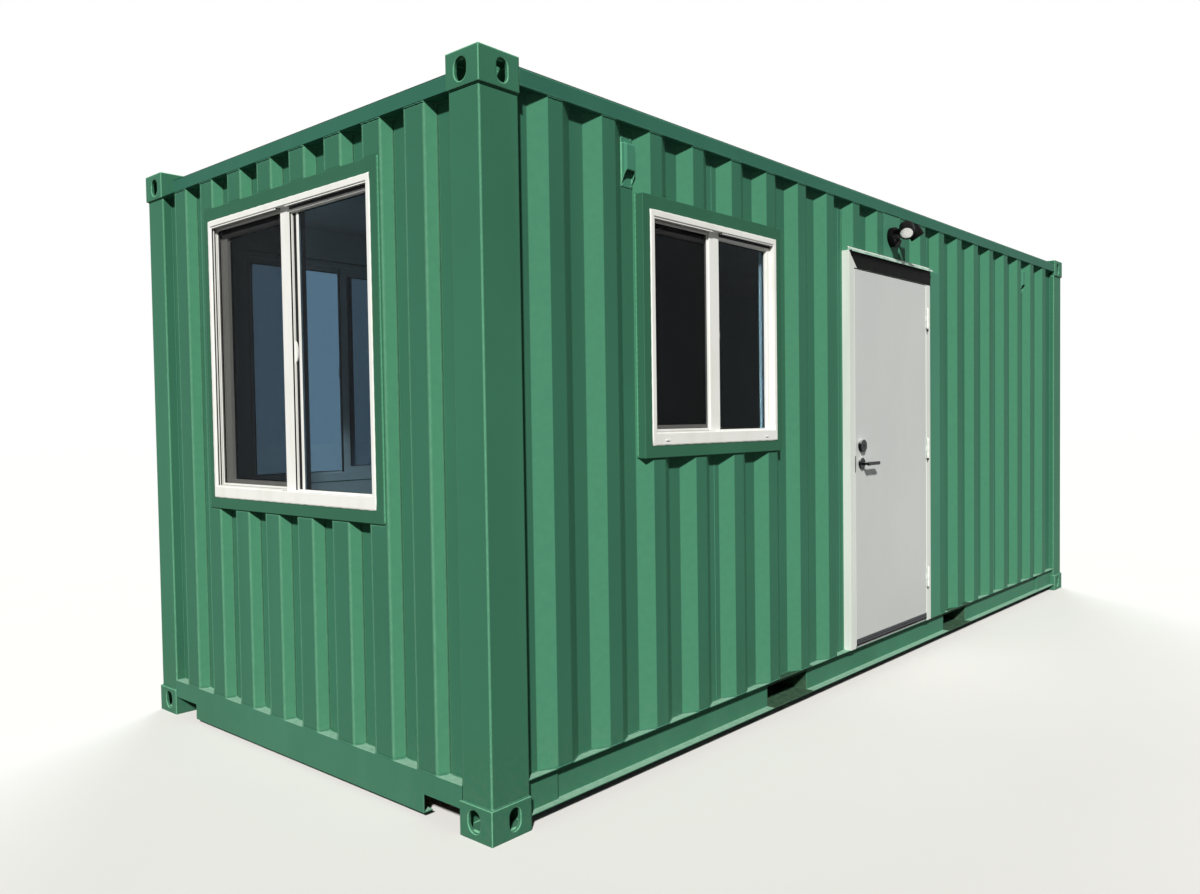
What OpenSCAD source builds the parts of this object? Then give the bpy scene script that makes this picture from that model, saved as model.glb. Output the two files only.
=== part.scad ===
// Shipping container cabin: a 20 ft steel container with a door, windows and a twin floodlight.
// X runs along the length, the door is on the -Y side, and the large end window looks along -X.

/* [Body] */
// Length over the corner castings
body_len = 6058; // [5000:1:9000]
// Width over the corner castings
body_wid = 2438; // [2300:1:3000]
// Height over the corner castings
body_hgt = 2591; // [2500:1:2900]

/* [Corner castings] */
// Length of a casting along the side
cast_len = 178; // [170:1:190]
// Width of a casting across the end
cast_wid = 162; // [155:1:175]
// Height of a casting
cast_hgt = 118; // [110:1:125]
// Wall of a casting round its side holes
cast_wall = 14; // [10:1:18]
// Wall of a casting at its twist-lock slot
cast_face = 28; // [20:1:30]
// Length of the twist-lock slot
slot_len = 124.5; // [110:0.5:126]
// Width of the twist-lock slot
slot_wid = 63.5; // [55:0.5:66]
// Slot and side-hole centre from the end face
slot_in_x = 102.5; // [100:0.5:104]
// Slot and end-hole centre from the side face
slot_in_y = 89.5; // [87:0.5:92]
// Height of the lashing holes
hole_hgt = 79.5; // [74:0.5:80]
// Width of the lashing hole in the side face
side_hole_wid = 51; // [44:0.5:56]
// Width of the lashing hole in the end face
end_hole_wid = 63.5; // [56:0.5:66]
// Lashing-hole centre from the outer horizontal face
hole_in_z = 62; // [60:0.5:64]

/* [Steel frame] */
// How far the castings stand proud of posts and walls
casting_proud = 8; // [4:1:12]
// Width of a corner post across the end
post_end_wid = 150; // [120:1:154]
// Plate of the corner posts
post_wall = 6; // [4:0.5:8]
// Size of the square top rails and end headers
top_tube = 60; // [50:1:70]
// Wall of the square tubes
tube_wall = 3; // [2.5:0.5:5]
// Outer face of the top side rails behind the castings
top_rail_set = 4; // [2:1:8]
// Underside of the roof sheet below the top of the castings
roof_drop = 30; // [24:1:34]
// Outer face of the end headers behind the castings
header_set = 60; // [40:1:70]
// Plate of the lip under an end header
lip_wall = 4; // [3:0.5:6]
// Outer edge of the header lip and end sill behind the castings
lip_set = 4; // [2:1:6]

/* [Underframe] */
// Underside of the bottom side rails above the ground
rail_z = 45; // [30:1:60]
// Top of the bottom side rails above the ground
rail_top_z = 172; // [165:1:185]
// Sheet of the bottom side rails
rail_wall = 4.5; // [4:0.5:6]
// Outer face of the rail web behind the castings
rail_web_set = 42; // [40:1:44]
// Lower flange edge behind the castings
rail_foot_set = 4; // [2:1:12]
// Length of the gusset plate at the window end of the rail
front_gusset = 161; // [100:1:250]
// Length of the gusset plate at the far end of the rail
rear_gusset = 331; // [200:1:450]
// Thickness of the gusset plates on the rail's web
gusset_thk = 10; // [6:1:14]
// Underside of the end sills above the ground
sill_z = 18; // [10:1:30]
// Top of the end sills above the ground
sill_top_z = 167; // [158:1:172]
// Plate of the end sills
sill_wall = 5; // [4:0.5:6]
// Depth of the sill's upper flange
sill_flange = 68; // [50:1:90]
// Depth of the sill's lower flange
sill_foot = 40; // [30:1:60]
// Width of the notch beside each bottom casting
notch_wid = 202; // [120:1:260]
// Top of that notch above the ground
notch_top_z = 86; // [60:1:110]
// Thickness of the floor boards
deck_thk = 28; // [21:1:30]
// Height of the floor crossmembers
cross_hgt = 122; // [100:1:130]
// Flange width of the floor crossmembers
cross_flange = 45; // [35:1:60]
// Sheet of the floor crossmembers
cross_wall = 4; // [3:0.5:6]
// Clear width of a forklift pocket
pocket_wid = 360; // [300:1:380]
// Centre of the pocket near the window end, from mid length
pocket_front_x = -1115; // [-1250:1:-1000]
// Centre of the pocket near the far end, from mid length
pocket_rear_x = 933; // [800:1:1050]
// Top plate of a forklift pocket
pocket_roof = 3; // [3:0.5:6]
// Length of the plate under each mouth of a pocket
pocket_strap = 200; // [150:1:300]

/* [Wall and roof sheets] */
// Thickness of the corrugated sheets
sheet = 2; // [1.6:0.1:3]
// Depth of the side-wall corrugation
side_depth = 36; // [30:1:38]
// Pitch of the side-wall corrugation
side_pitch = 278; // [260:1:290]
// Width of a crest of the side wall
side_crest = 72; // [60:1:84]
// Width of a slope of the side wall
side_slope = 68; // [60:1:72]
// Middle of the corrugated stretch from mid length
side_offset = -34; // [-40:1:0]
// Depth of the end-wall corrugation
end_depth = 46; // [40:1:48]
// Pitch of the end-wall corrugation
end_pitch = 250; // [240:1:255]
// Width of a recess of the end wall at its floor
end_recess = 104; // [90:1:116]
// Width of a slope of the end wall
end_slope = 18; // [12:1:30]
// Crests of the end wall behind the castings
end_set = 6; // [4:1:6]
// Height of a roof ridge
roof_rise = 20; // [14:1:22]
// Pitch of the roof ridges
roof_pitch = 208; // [190:1:230]
// Width of a roof ridge at its foot
roof_foot = 118; // [100:1:130]
// Width of a roof ridge at its top
roof_crest = 90; // [70:1:98]
// Number of roof ridges
roof_ridges = 27; // [9:2:27]
// Ends of the roof ridges from the side face
ridge_in = 90; // [75:1:150]
// Length of the sloping end of a ridge
ridge_fade = 30; // [20:1:60]
// Thickness of the insulated lining panels
lining = 50; // [30:1:60]

/* [Windows] */
// Width of the large window frame
big_wid = 1216; // [900:1:1300]
// Height of the large window frame
big_hgt = 1216; // [900:1:1230]
// Top of the large window frames below the top of the castings
big_in_z = 303; // [280:1:360]
// Sideways place of the end window's centre
end_win_y = -10; // [-60:1:60]
// Back window's centre from the window end
back_win_in = 1072; // [1030:1:1130]
// Width of the small window frame
small_wid = 909; // [800:1:940]
// Height of the small window frame
small_hgt = 913; // [800:1:940]
// Top of the small window frame below the top of the castings
small_in_z = 390; // [350:1:460]
// Side window's centre from the window end
side_win_in = 1313.5; // [1270:0.5:1350]
// Width of the steel surround at the sides of a window
surround_side = 45; // [35:1:60]
// Width of the steel surround over a window
surround_top = 56; // [40:1:60]
// Width of the steel surround under a window
surround_foot = 50; // [40:1:60]
// Plate of the window surrounds
surround_wall = 4; // [3:0.5:6]
// Face width of the vinyl window frame at its sides
frame_side = 19; // [15:1:26]
// Face width of the vinyl window frame at its head
frame_head = 24; // [20:1:30]
// Face width of the vinyl window frame at its sill
frame_sill = 46; // [36:1:50]
// Depth of the vinyl window frame
frame_depth = 85; // [75:1:90]
// How far the vinyl frame stands proud of its surround
frame_proud = 4; // [0:1:8]
// Width of the meeting stile of the fixed sash
meeting_wid = 70; // [50:1:80]
// Middle of the meeting stile from the middle of the window
meeting_in = -4; // [-10:1:10]
// Fixed sash behind the face of the surround
fixed_set = 20; // [12:1:26]
// Width of the fixed sash's outer stile
fixed_stile = 24; // [16:1:40]
// Height of the fixed sash's top rail
fixed_rail = 26; // [16:1:40]
// Height of the fixed sash's foot rail over the sill's face
fixed_foot = 5; // [3:1:20]
// Face width of the sliding sash
sash_face = 45; // [30:1:55]
// Height of the sliding sash's foot rail
sash_foot = 31; // [20:1:50]
// Reach of the sliding sash past the meeting stile
sash_lap = 25; // [10:1:40]
// Thickness of a sash
sash_thk = 26; // [20:1:28]
// Gap between the two sashes
sash_gap = 3; // [2:0.5:5]
// Pane behind the outer face of its sash
pane_in = 18; // [4:1:20]
// Thickness of the glass
glass_thk = 5; // [4:1:8]

/* [Door] */
// Left edge of the door frame from mid length
door_x0 = -549; // [-555:1:-545]
// Right edge of the door frame from mid length
door_x1 = 466; // [440:1:480]
// Top of the door frame below the top of the castings
door_in_z = 344; // [330:1:361]
// Face width of the jambs
jamb_wid = 56; // [45:1:65]
// Face height of the head
head_hgt = 85; // [60:1:90]
// Depth of the rebate for the leaf
rebate_dep = 52; // [52:1:60]
// Width of the stop behind the leaf
stop_wid = 16; // [12:1:20]
// Sheet of the door frame and leaf
door_sheet = 2; // [1.5:0.1:3]
// Thickness of the leaf
leaf_thk = 45; // [40:1:45]
// Gap at the hinge side, the top and the foot of the leaf
leaf_gap = 5; // [5:0.5:6]
// Gap at the latch side of the leaf
latch_gap = 8; // [8:0.5:10]
// Leaf face behind the frame face
leaf_set = 2; // [1:0.5:2]
// Height of the threshold plate
threshold_hgt = 6; // [4:1:10]
// Thickness of the closing plates over the corrugation
closing_thk = 3; // [2.5:0.5:4]
// Thickness of the dark plate on the head
head_plate = 3; // [2:0.5:4]
// Length of the mitre at the left end of that plate
head_mitre = 87; // [60:1:95]
// Projection of the drip cap from the frame face
cap_out = 20; // [12:1:30]
// Height of the drip cap's front lip
cap_lip = 11; // [8:1:16]
// Height of the drip cap's upstand
cap_up = 15; // [8:1:20]

/* [Door hardware] */
// Height of the lowest hinge above the ground
hinge_low_z = 435; // [400:1:500]
// Highest hinge below the top of the door frame
hinge_high_in = 285; // [240:1:400]
// Length of a hinge
hinge_len = 116; // [100:1:130]
// Radius of a hinge knuckle
knuckle_r = 8; // [7:0.5:9]
// Radius of a hinge pin
pin_r = 3.5; // [3:0.5:4]
// Thickness of a hinge plate
hinge_thk = 2; // [1.5:0.5:2]
// Height of the lever's axis above the ground
lever_z = 1143; // [1000:1:1200]
// Height of the deadbolt's axis above the ground
bolt_z = 1236; // [1220:1:1300]
// Lever and deadbolt axis from the leaf's latch edge
backset = 62; // [55:1:75]
// Length of the lever from its axis
lever_len = 118; // [100:1:130]
// Projection of the lever from the leaf
lever_out = 52; // [45:1:60]
// Half height of the lever's grip
lever_r = 9; // [7:0.5:11]
// Thickness of the lever's grip
lever_thk = 14; // [10:1:18]
// Radius of the lever's spindle
spindle_r = 8; // [6:0.5:10]
// Radius of the rose behind the lever
rose_r = 30; // [26:1:34]
// Projection of the rose
rose_out = 10; // [8:1:14]
// Radius of the deadbolt's collar
collar_r = 33; // [28:1:36]
// Projection of the deadbolt's collar
collar_out = 18; // [14:1:24]

/* [Lamp and vents] */
// Lamp from the middle of its mounting plate
lamp_in = -4; // [-20:1:20]
// Height of the lamp's canopy above the door frame
lamp_up = 131; // [115:1:150]
// Radius of the lamp's canopy
canopy_r = 53; // [45:1:60]
// Projection of the lamp's canopy
canopy_out = 30; // [20:1:40]
// Spread of the two lamp faces from the canopy
head_spread = 73; // [68:1:90]
// Reach of the lamp faces from the wall
head_reach = 123; // [110:1:150]
// Radius of a lamp head
head_r = 40; // [34:1:46]
// Length of a lamp head
head_len = 60; // [50:1:80]
// Depth of the lens behind the rim of a lamp head
lens_dep = 8; // [5:1:16]
// Turn of the left lamp head to the side
left_turn = 66; // [40:1:75]
// Tilt of the left lamp head below the horizontal
left_tilt = 47; // [30:1:60]
// Turn of the right lamp head to the side
right_turn = 41; // [30:1:75]
// Tilt of the right lamp head below the horizontal
right_tilt = 56; // [30:1:60]
// Radius of the sensor under the canopy
sensor_r = 24; // [18:1:28]
// Width of a vent's hood
vent_wid = 60; // [50:1:62]
// Height of a vent's hood
vent_hgt = 146; // [120:1:150]
// Projection of a vent's hood
vent_out = 25; // [18:1:30]
// Height of the sloping mouth of a vent's hood
vent_mouth = 46; // [30:1:60]
// Bevel along the edges of a vent's hood
vent_bevel = 7; // [3:1:9]
// Sheet of a vent
vent_wall = 2; // [1.5:0.5:3]
// Width of a vent's back flange
vent_back_wid = 68; // [66:1:70]
// Height of a vent's back flange
vent_back_hgt = 192; // [185:1:200]
// Top of a vent's back flange below the top rail
vent_drop = 36; // [20:1:60]
// Foot of the hood above the foot of the flange
vent_foot = 18; // [10:1:26]

/* [Hidden] */
$fn = 48;

green = [0.24, 0.49, 0.37];
white = [0.93, 0.94, 0.92];
// Clearance of a piece that is set into an opening
seat_gap = 0.3;
// Running clearance of a pin or spindle in its bore
run_gap = 0.1;
// Gap between two knuckles of a hinge
knuckle_gap = 0.5;
// How far a cut runs past a face
over = 1;
hx = body_len / 2;
hy = body_wid / 2;
// Posts and walls between the castings
post_x = hx - casting_proud;
post_y = hy - casting_proud;
post_in_x = hx - cast_len;
post_in_y = post_y - post_end_wid;
cast_in_y = hy - cast_wid;
top_cast_z = body_hgt - cast_hgt;
// Side-wall sheet: crest, valley and inner surface
side_crest_y = post_y;
side_valley_y = post_y - side_depth;
side_in_y = side_valley_y - sheet;
side_shift = sheet * tan(atan(side_depth / side_slope) / 2);
side_count = floor((2 * post_in_x - side_crest) / side_pitch);
side_start = side_offset - (side_count - 1) * side_pitch / 2;
// Setting of a closing plate between two crests
closing_in = closing_thk * side_slope / side_depth + seat_gap;
// End-wall sheet: crest, valley and inner surface
end_crest_x = hx - end_set;
end_valley_x = end_crest_x - end_depth;
end_in_x = end_valley_x - sheet;
end_shift = sheet * tan(atan(end_depth / end_slope) / 2);
end_side = floor((post_in_y - end_recess / 2) / end_pitch);
// Lining and the room inside it
room_y = side_in_y - lining;
room_x = end_in_x - lining;
// Rails, floor and roof
rail_web_y = hy - rail_web_set;
rail_in_y = rail_web_y - rail_wall;
top_rail_z1 = body_hgt - roof_drop;
top_rail_z0 = top_rail_z1 - top_tube;
top_rail_y = hy - top_rail_set;
header_x = hx - header_set;
lip_x = hx - lip_set;
deck_x = lip_x - sill_flange;
deck_z = rail_top_z - deck_thk;
ceiling_z = top_rail_z0 - lining;
// Windows
big_z = body_hgt - big_in_z - big_hgt;
small_z = body_hgt - small_in_z - small_hgt;
back_win_x = -hx + back_win_in;
side_win_x = -hx + side_win_in;
meeting_x0 = meeting_in - meeting_wid / 2;
meeting_x1 = meeting_in + meeting_wid / 2;
sash_set = fixed_set + sash_thk + sash_gap;
side_rim = hy - side_in_y;
side_reveal = hy - room_y;
end_rim = hx - end_in_x;
end_reveal = hx - room_x;
// Door
door_top_z = body_hgt - door_in_z;
frame_y = -hy;
leaf_x0 = door_x0 + jamb_wid + latch_gap;
leaf_x1 = door_x1 - jamb_wid - leaf_gap;
leaf_y0 = frame_y + leaf_set;
leaf_y1 = leaf_y0 + leaf_thk;
leaf_z0 = rail_top_z + threshold_hgt + leaf_gap;
leaf_z1 = door_top_z - head_hgt - leaf_gap;
hinge_x = (leaf_x1 + door_x1 - jamb_wid) / 2;
hinge_y = frame_y - knuckle_r - hinge_thk;
lever_x = leaf_x0 + backset;
hinge_high_z = door_top_z - hinge_high_in;
hinge_mid_z = (hinge_low_z + hinge_high_z) / 2;
// Crest edge at the right of the door
next_crest = ceil((door_x1 + side_crest / 2 - side_start) / side_pitch);
closing_x1 = side_start + next_crest * side_pitch - side_crest / 2;
// Lamp on the plate over the valley at mid length
lamp_valley_x = side_start + (floor(side_count / 2) - 0.5) * side_pitch;
lamp_x = lamp_valley_x + lamp_in;
lamp_y = -side_crest_y;
lamp_z = door_top_z + lamp_up;
vent_z = top_rail_z0 - vent_drop - vent_back_hgt;

module both_x() {
    children();
    mirror([1, 0, 0]) children();
}

module both_y() {
    children();
    mirror([0, 1, 0]) children();
}

// A box given by its two corners
module span(lo, hi) {
    translate(lo) cube(hi - lo);
}

// An upright round-ended hole, cut along Y
module hole_y(wid, hgt, dep) {
    rest = hgt - wid;
    rotate([-90, 0, 0]) translate([0, rest / 2, 0]) cylinder(d = wid, h = dep);
    rotate([-90, 0, 0]) translate([0, -rest / 2, 0]) cylinder(d = wid, h = dep);
    translate([-wid / 2, 0, -rest / 2]) cube([wid, dep, rest]);
}

// One casting at the -X -Y corner, slot face down
module casting() {
    difference() {
        span([-hx, -hy, 0], [-hx + cast_len, -hy + cast_wid, cast_hgt]);
        span([-hx + cast_wall, -hy + cast_wall, cast_face],
             [-hx + cast_len - cast_wall, -hy + cast_wid - cast_wall, cast_hgt - cast_wall]);
        translate([-hx + slot_in_x, -hy + slot_in_y, -over]) {
            for (s = [-1, 1])
                translate([s * (slot_len - slot_wid) / 2, 0, 0])
                    cylinder(d = slot_wid, h = cast_face + 2 * over);
            translate([-(slot_len - slot_wid) / 2, -slot_wid / 2, 0])
                cube([slot_len - slot_wid, slot_wid, cast_face + 2 * over]);
        }
        translate([-hx + slot_in_x, -hy - over, hole_in_z])
            hole_y(side_hole_wid, hole_hgt, cast_wall + 2 * over);
        translate([-hx - over, -hy + slot_in_y, hole_in_z])
            rotate([0, 0, -90]) hole_y(end_hole_wid, hole_hgt, cast_wall + 2 * over);
    }
}

module bottom_corner_castings() {
    color(green) both_x() both_y() casting();
}

module top_corner_castings() {
    color(green) translate([0, 0, body_hgt]) mirror([0, 0, 1]) both_x() both_y() casting();
}

// Folded plate post, open to the inside, with a return for each wall sheet
module corner_posts() {
    color(green) both_x() both_y()
        translate([0, 0, cast_hgt]) linear_extrude(top_cast_z - cast_hgt) polygon([
            [-end_in_x, -post_in_y], [-post_x, -post_in_y], [-post_x, -post_y], [-post_in_x, -post_y],
            [-post_in_x, -side_in_y], [-post_in_x - post_wall, -side_in_y],
            [-post_in_x - post_wall, -post_y + post_wall], [-post_x + post_wall, -post_y + post_wall],
            [-post_x + post_wall, -post_in_y - post_wall], [-end_in_x, -post_in_y - post_wall]]);
}

// Channel that opens outward, in lengths between the pocket mouths, with a gusset plate at each end
module bottom_rail() {
    half = pocket_wid / 2;
    for (s = [[-post_in_x, pocket_front_x - half], [pocket_front_x + half, pocket_rear_x - half],
              [pocket_rear_x + half, post_in_x]]) {
        span([s[0], -rail_web_y, rail_z], [s[1], -rail_in_y, rail_top_z]);
        span([s[0], -post_y, rail_top_z - rail_wall], [s[1], -rail_in_y, rail_top_z]);
        span([s[0], -hy + rail_foot_set, rail_z], [s[1], -rail_in_y, rail_z + rail_wall]);
    }
    for (s = [[-post_in_x, -post_in_x + front_gusset], [post_in_x - rear_gusset, post_in_x]])
        span([s[0], -rail_web_y - gusset_thk, rail_z + over], [s[1], -rail_in_y, rail_top_z - over]);
}

module bottom_side_rails() {
    color(green) both_y() bottom_rail();
}

// Pressed channel that opens inward, notched beside the castings
module end_sill() {
    difference() {
        union() {
            span([-lip_x, -cast_in_y, sill_z], [-lip_x + sill_wall, cast_in_y, sill_top_z]);
            span([-lip_x, -post_in_y, cast_hgt], [-lip_x + sill_wall, post_in_y, sill_top_z]);
            span([-lip_x, -post_in_y, sill_top_z - sill_wall], [-deck_x, post_in_y, sill_top_z]);
            span([-lip_x, -cast_in_y, sill_z], [-lip_x + sill_foot, cast_in_y, sill_z + sill_wall]);
        }
        for (s = [-1, 1])
            translate([-lip_x - over, s * (cast_in_y - notch_wid / 2) - notch_wid / 2, sill_z - over])
                cube([sill_foot + 2 * over, notch_wid + over * s + over, notch_top_z - sill_z + over]);
    }
}

module end_sills() {
    color(green) both_x() end_sill();
}

module top_side_rails() {
    color(green) both_y() difference() {
        span([-post_in_x, -top_rail_y, top_rail_z0], [post_in_x, -top_rail_y + top_tube, top_rail_z1]);
        span([-post_in_x - over, -top_rail_y + tube_wall, top_rail_z0 + tube_wall],
             [post_in_x + over, -top_rail_y + top_tube - tube_wall, top_rail_z1 - tube_wall]);
    }
}

// Square tube set back from the end, on a web and an outward lip that closes the wall sheet
module end_header() {
    difference() {
        span([-header_x, -cast_in_y, top_rail_z0], [-header_x + top_tube, cast_in_y, top_rail_z1]);
        span([-header_x + tube_wall, -cast_in_y - over, top_rail_z0 + tube_wall],
             [-header_x + top_tube - tube_wall, cast_in_y + over, top_rail_z1 - tube_wall]);
    }
    span([-header_x, -cast_in_y, top_cast_z], [-header_x + lip_wall, cast_in_y, top_rail_z0 + tube_wall]);
    span([-lip_x, -cast_in_y, top_cast_z], [-header_x + lip_wall, cast_in_y, top_cast_z + lip_wall]);
}

module end_headers() {
    color(green) both_x() end_header();
}

// C-section members between the side rails, evenly spaced in one bay
module cross_row(x0, x1, count) {
    for (i = [0 : count - 1])
        translate([x0 + (x1 - x0) * (i + 0.5) / count - cross_flange / 2, rail_in_y, deck_z - cross_hgt])
            rotate([90, 0, 0]) linear_extrude(2 * rail_in_y) polygon([
                [0, 0], [cross_flange, 0], [cross_flange, cross_wall], [cross_wall, cross_wall],
                [cross_wall, cross_hgt - cross_wall], [cross_flange, cross_hgt - cross_wall],
                [cross_flange, cross_hgt], [0, cross_hgt]]);
}

module floor_crossmembers() {
    color(green) {
        cross_row(-post_in_x, pocket_front_x - pocket_wid / 2, 5);
        cross_row(pocket_front_x + pocket_wid / 2, pocket_rear_x - pocket_wid / 2, 6);
        cross_row(pocket_rear_x + pocket_wid / 2, post_in_x, 6);
    }
}

// One tunnel for a fork tine: a channel each side, a roof plate that joins the rail over each mouth,
// and under each mouth a plate that carries on the rail's foot
module pocket(x) {
    half = pocket_wid / 2;
    fit = half - seat_gap;
    side_z = deck_z - cross_hgt;
    for (s = [0, 1]) translate([x, 0, 0]) mirror([s, 0, 0]) {
        span([half, -rail_in_y, side_z], [half + rail_wall, rail_in_y, deck_z]);
        span([half, -rail_in_y, deck_z - rail_wall], [half + cross_flange, rail_in_y, deck_z]);
        span([half, -rail_in_y, side_z], [half + cross_flange, rail_in_y, side_z + rail_wall]);
    }
    span([x - fit, -rail_in_y - over, deck_z - pocket_roof], [x + fit, rail_in_y + over, deck_z]);
    both_y() {
        span([x - half, -rail_web_y, deck_z - pocket_roof], [x + half, -rail_in_y, rail_top_z]);
        span([x - half, -post_y, rail_top_z - rail_wall], [x + half, -rail_in_y, rail_top_z]);
        span([x - half, -hy + rail_foot_set, rail_z], [x + half, -rail_in_y, rail_z + rail_wall]);
        span([x - fit, -rail_in_y - over, rail_z],
             [x + fit, -rail_in_y + pocket_strap, rail_z + rail_wall]);
    }
}

module forklift_pockets() {
    color(green) {
        pocket(pocket_front_x);
        pocket(pocket_rear_x);
    }
}

module floor_deck() {
    color([0.45, 0.33, 0.22]) span([-deck_x, -rail_in_y, deck_z], [deck_x, rail_in_y, rail_top_z]);
}

// A roof ridge with sloping flanks and ends; shrink makes the hollow under the sheet
module roof_ridge(x, shrink) {
    z0 = top_rail_z1 - shrink;
    z1 = top_rail_z1 + sheet + roof_rise - shrink;
    foot = roof_foot / 2 - shrink;
    crest = roof_crest / 2 - shrink;
    reach = hy - ridge_in - shrink;
    intersection() {
        translate([x, hy, 0]) rotate([90, 0, 0]) linear_extrude(2 * hy)
            polygon([[-foot, z0], [foot, z0], [crest, z1], [-crest, z1]]);
        translate([x - roof_foot, 0, 0]) rotate([90, 0, 90]) linear_extrude(2 * roof_foot)
            polygon([[-reach, z0], [reach, z0], [reach - ridge_fade, z1], [-reach + ridge_fade, z1]]);
    }
}

module roof_panel() {
    color(green) difference() {
        union() {
            span([-header_x, -cast_in_y, top_rail_z1], [header_x, cast_in_y, top_rail_z1 + sheet]);
            span([-post_in_x, -top_rail_y, top_rail_z1], [post_in_x, top_rail_y, top_rail_z1 + sheet]);
            for (i = [0 : roof_ridges - 1]) roof_ridge((i - (roof_ridges - 1) / 2) * roof_pitch, 0);
        }
        for (i = [0 : roof_ridges - 1]) roof_ridge((i - (roof_ridges - 1) / 2) * roof_pitch, sheet);
    }
}

// Trapezoid side sheet over its whole length, crest outward to -Y
module side_sheet(z0, z1) {
    crest = side_crest / 2;
    foot = crest + side_slope;
    outer = [for (k = [0 : side_count - 1]) let (c = side_start + k * side_pitch)
        each [[c - foot, -side_valley_y], [c - crest, -side_crest_y],
              [c + crest, -side_crest_y], [c + foot, -side_valley_y]]];
    inner = [for (k = [side_count - 1 : -1 : 0]) let (c = side_start + k * side_pitch)
        each [[c + foot - side_shift, -side_in_y], [c + crest - side_shift, -side_crest_y + sheet],
              [c - crest + side_shift, -side_crest_y + sheet], [c - foot + side_shift, -side_in_y]]];
    translate([0, 0, z0]) linear_extrude(z1 - z0) polygon(concat(
        [[-post_in_x, -side_valley_y]], outer, [[post_in_x, -side_valley_y], [post_in_x, -side_in_y]],
        inner, [[-post_in_x, -side_in_y]]));
}

// One stretch of the side sheet between two places along the wall
module side_part(x0, x1, z0, z1) {
    intersection() {
        side_sheet(z0, z1);
        span([x0, -hy, z0], [x1, -room_y, z1]);
    }
}

// Outline of a window surround as a cutter, in the window's own frame
module surround_cut(wid, hgt, dep) {
    span([-wid / 2 - surround_side, -over, -surround_foot],
         [wid / 2 + surround_side, dep, hgt + surround_top]);
}

// Outline of a window reveal as a cutter for the lining
module reveal_cut(wid, hgt, dep) {
    span([-wid / 2 - surround_wall, -over, -surround_wall],
         [wid / 2 + surround_wall, dep, hgt + surround_wall]);
}

module at_side() {
    translate([side_win_x, -hy, small_z]) children();
}

module at_back() {
    translate([back_win_x, hy, big_z]) rotate([0, 0, 180]) children();
}

module at_front() {
    translate([-hx, end_win_y, big_z]) rotate([0, 0, -90]) children();
}

module door_side_wall_left() {
    color(green) difference() {
        side_part(-post_in_x, door_x0, rail_top_z, top_rail_z0);
        at_side() surround_cut(small_wid, small_hgt, 2 * side_rim);
    }
}

module door_side_wall_over_door() {
    color(green) side_part(door_x0, closing_x1, door_top_z, top_rail_z0);
}

module door_side_wall_right() {
    color(green) side_part(closing_x1, post_in_x, rail_top_z, top_rail_z0);
}

// Flat plates in the plane of the crests: beside the door, and over the valley behind the lamp
module wall_closing_plates() {
    half = side_pitch / 2 - side_crest / 2 - closing_in;
    color(green) {
        span([door_x1, -side_crest_y, rail_top_z], [closing_x1, -side_crest_y + closing_thk, door_top_z]);
        span([lamp_valley_x - half, -side_crest_y, door_top_z],
             [lamp_valley_x + half, -side_crest_y + closing_thk, top_rail_z0]);
    }
}

module back_wall_window_part() {
    color(green) difference() {
        mirror([0, 1, 0]) side_part(-post_in_x, door_x0, rail_top_z, top_rail_z0);
        at_back() surround_cut(big_wid, big_hgt, 2 * side_rim);
    }
}

module back_wall_plain_part() {
    color(green) mirror([0, 1, 0]) side_part(door_x0, post_in_x, rail_top_z, top_rail_z0);
}

// Deep box corrugation of an end wall, crest outward to -X
module end_sheet() {
    floor_half = end_recess / 2;
    edge = floor_half + end_slope;
    turn = floor_half + end_shift;
    bend = edge + end_shift;
    outer = concat(
        [[-end_valley_x, -post_in_y]],
        [for (j = [-end_side : end_side]) let (c = j * end_pitch) each concat(
            j > -end_side ? [[-end_crest_x, c - edge], [-end_valley_x, c - floor_half]] : [],
            j < end_side ? [[-end_valley_x, c + floor_half], [-end_crest_x, c + edge]] : [])],
        [[-end_valley_x, post_in_y]]);
    inner = concat(
        [[-end_in_x, post_in_y]],
        [for (j = [end_side : -1 : -end_side]) let (c = j * end_pitch) each concat(
            j < end_side ? [[-end_crest_x + sheet, c + bend], [-end_in_x, c + turn]] : [],
            j > -end_side ? [[-end_in_x, c - turn], [-end_crest_x + sheet, c - bend]] : [])],
        [[-end_in_x, -post_in_y]]);
    translate([0, 0, sill_top_z]) linear_extrude(top_cast_z - sill_top_z) polygon(concat(outer, inner));
}

module front_wall() {
    color(green) difference() {
        end_sheet();
        at_front() surround_cut(big_wid, big_hgt, 2 * end_rim);
    }
}

module rear_wall() {
    color(green) mirror([1, 0, 0]) end_sheet();
}

module lining_door_side_left() {
    color(white) difference() {
        span([-room_x, -side_in_y, rail_top_z], [door_x0, -room_y, ceiling_z]);
        at_side() reveal_cut(small_wid, small_hgt, 2 * side_reveal);
    }
}

module lining_over_door() {
    color(white) span([door_x0, -side_in_y, door_top_z], [door_x1, -room_y, ceiling_z]);
}

module lining_door_side_right() {
    color(white) span([door_x1, -side_in_y, rail_top_z], [room_x, -room_y, ceiling_z]);
}

module lining_back() {
    color(white) difference() {
        span([-room_x, room_y, rail_top_z], [room_x, side_in_y, ceiling_z]);
        at_back() reveal_cut(big_wid, big_hgt, 2 * side_reveal);
    }
}

module lining_front() {
    color(white) difference() {
        span([-end_in_x, -side_in_y, rail_top_z], [-room_x, side_in_y, ceiling_z]);
        at_front() reveal_cut(big_wid, big_hgt, 2 * end_reveal);
    }
}

module lining_rear() {
    color(white) span([room_x, -side_in_y, rail_top_z], [end_in_x, side_in_y, ceiling_z]);
}

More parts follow.
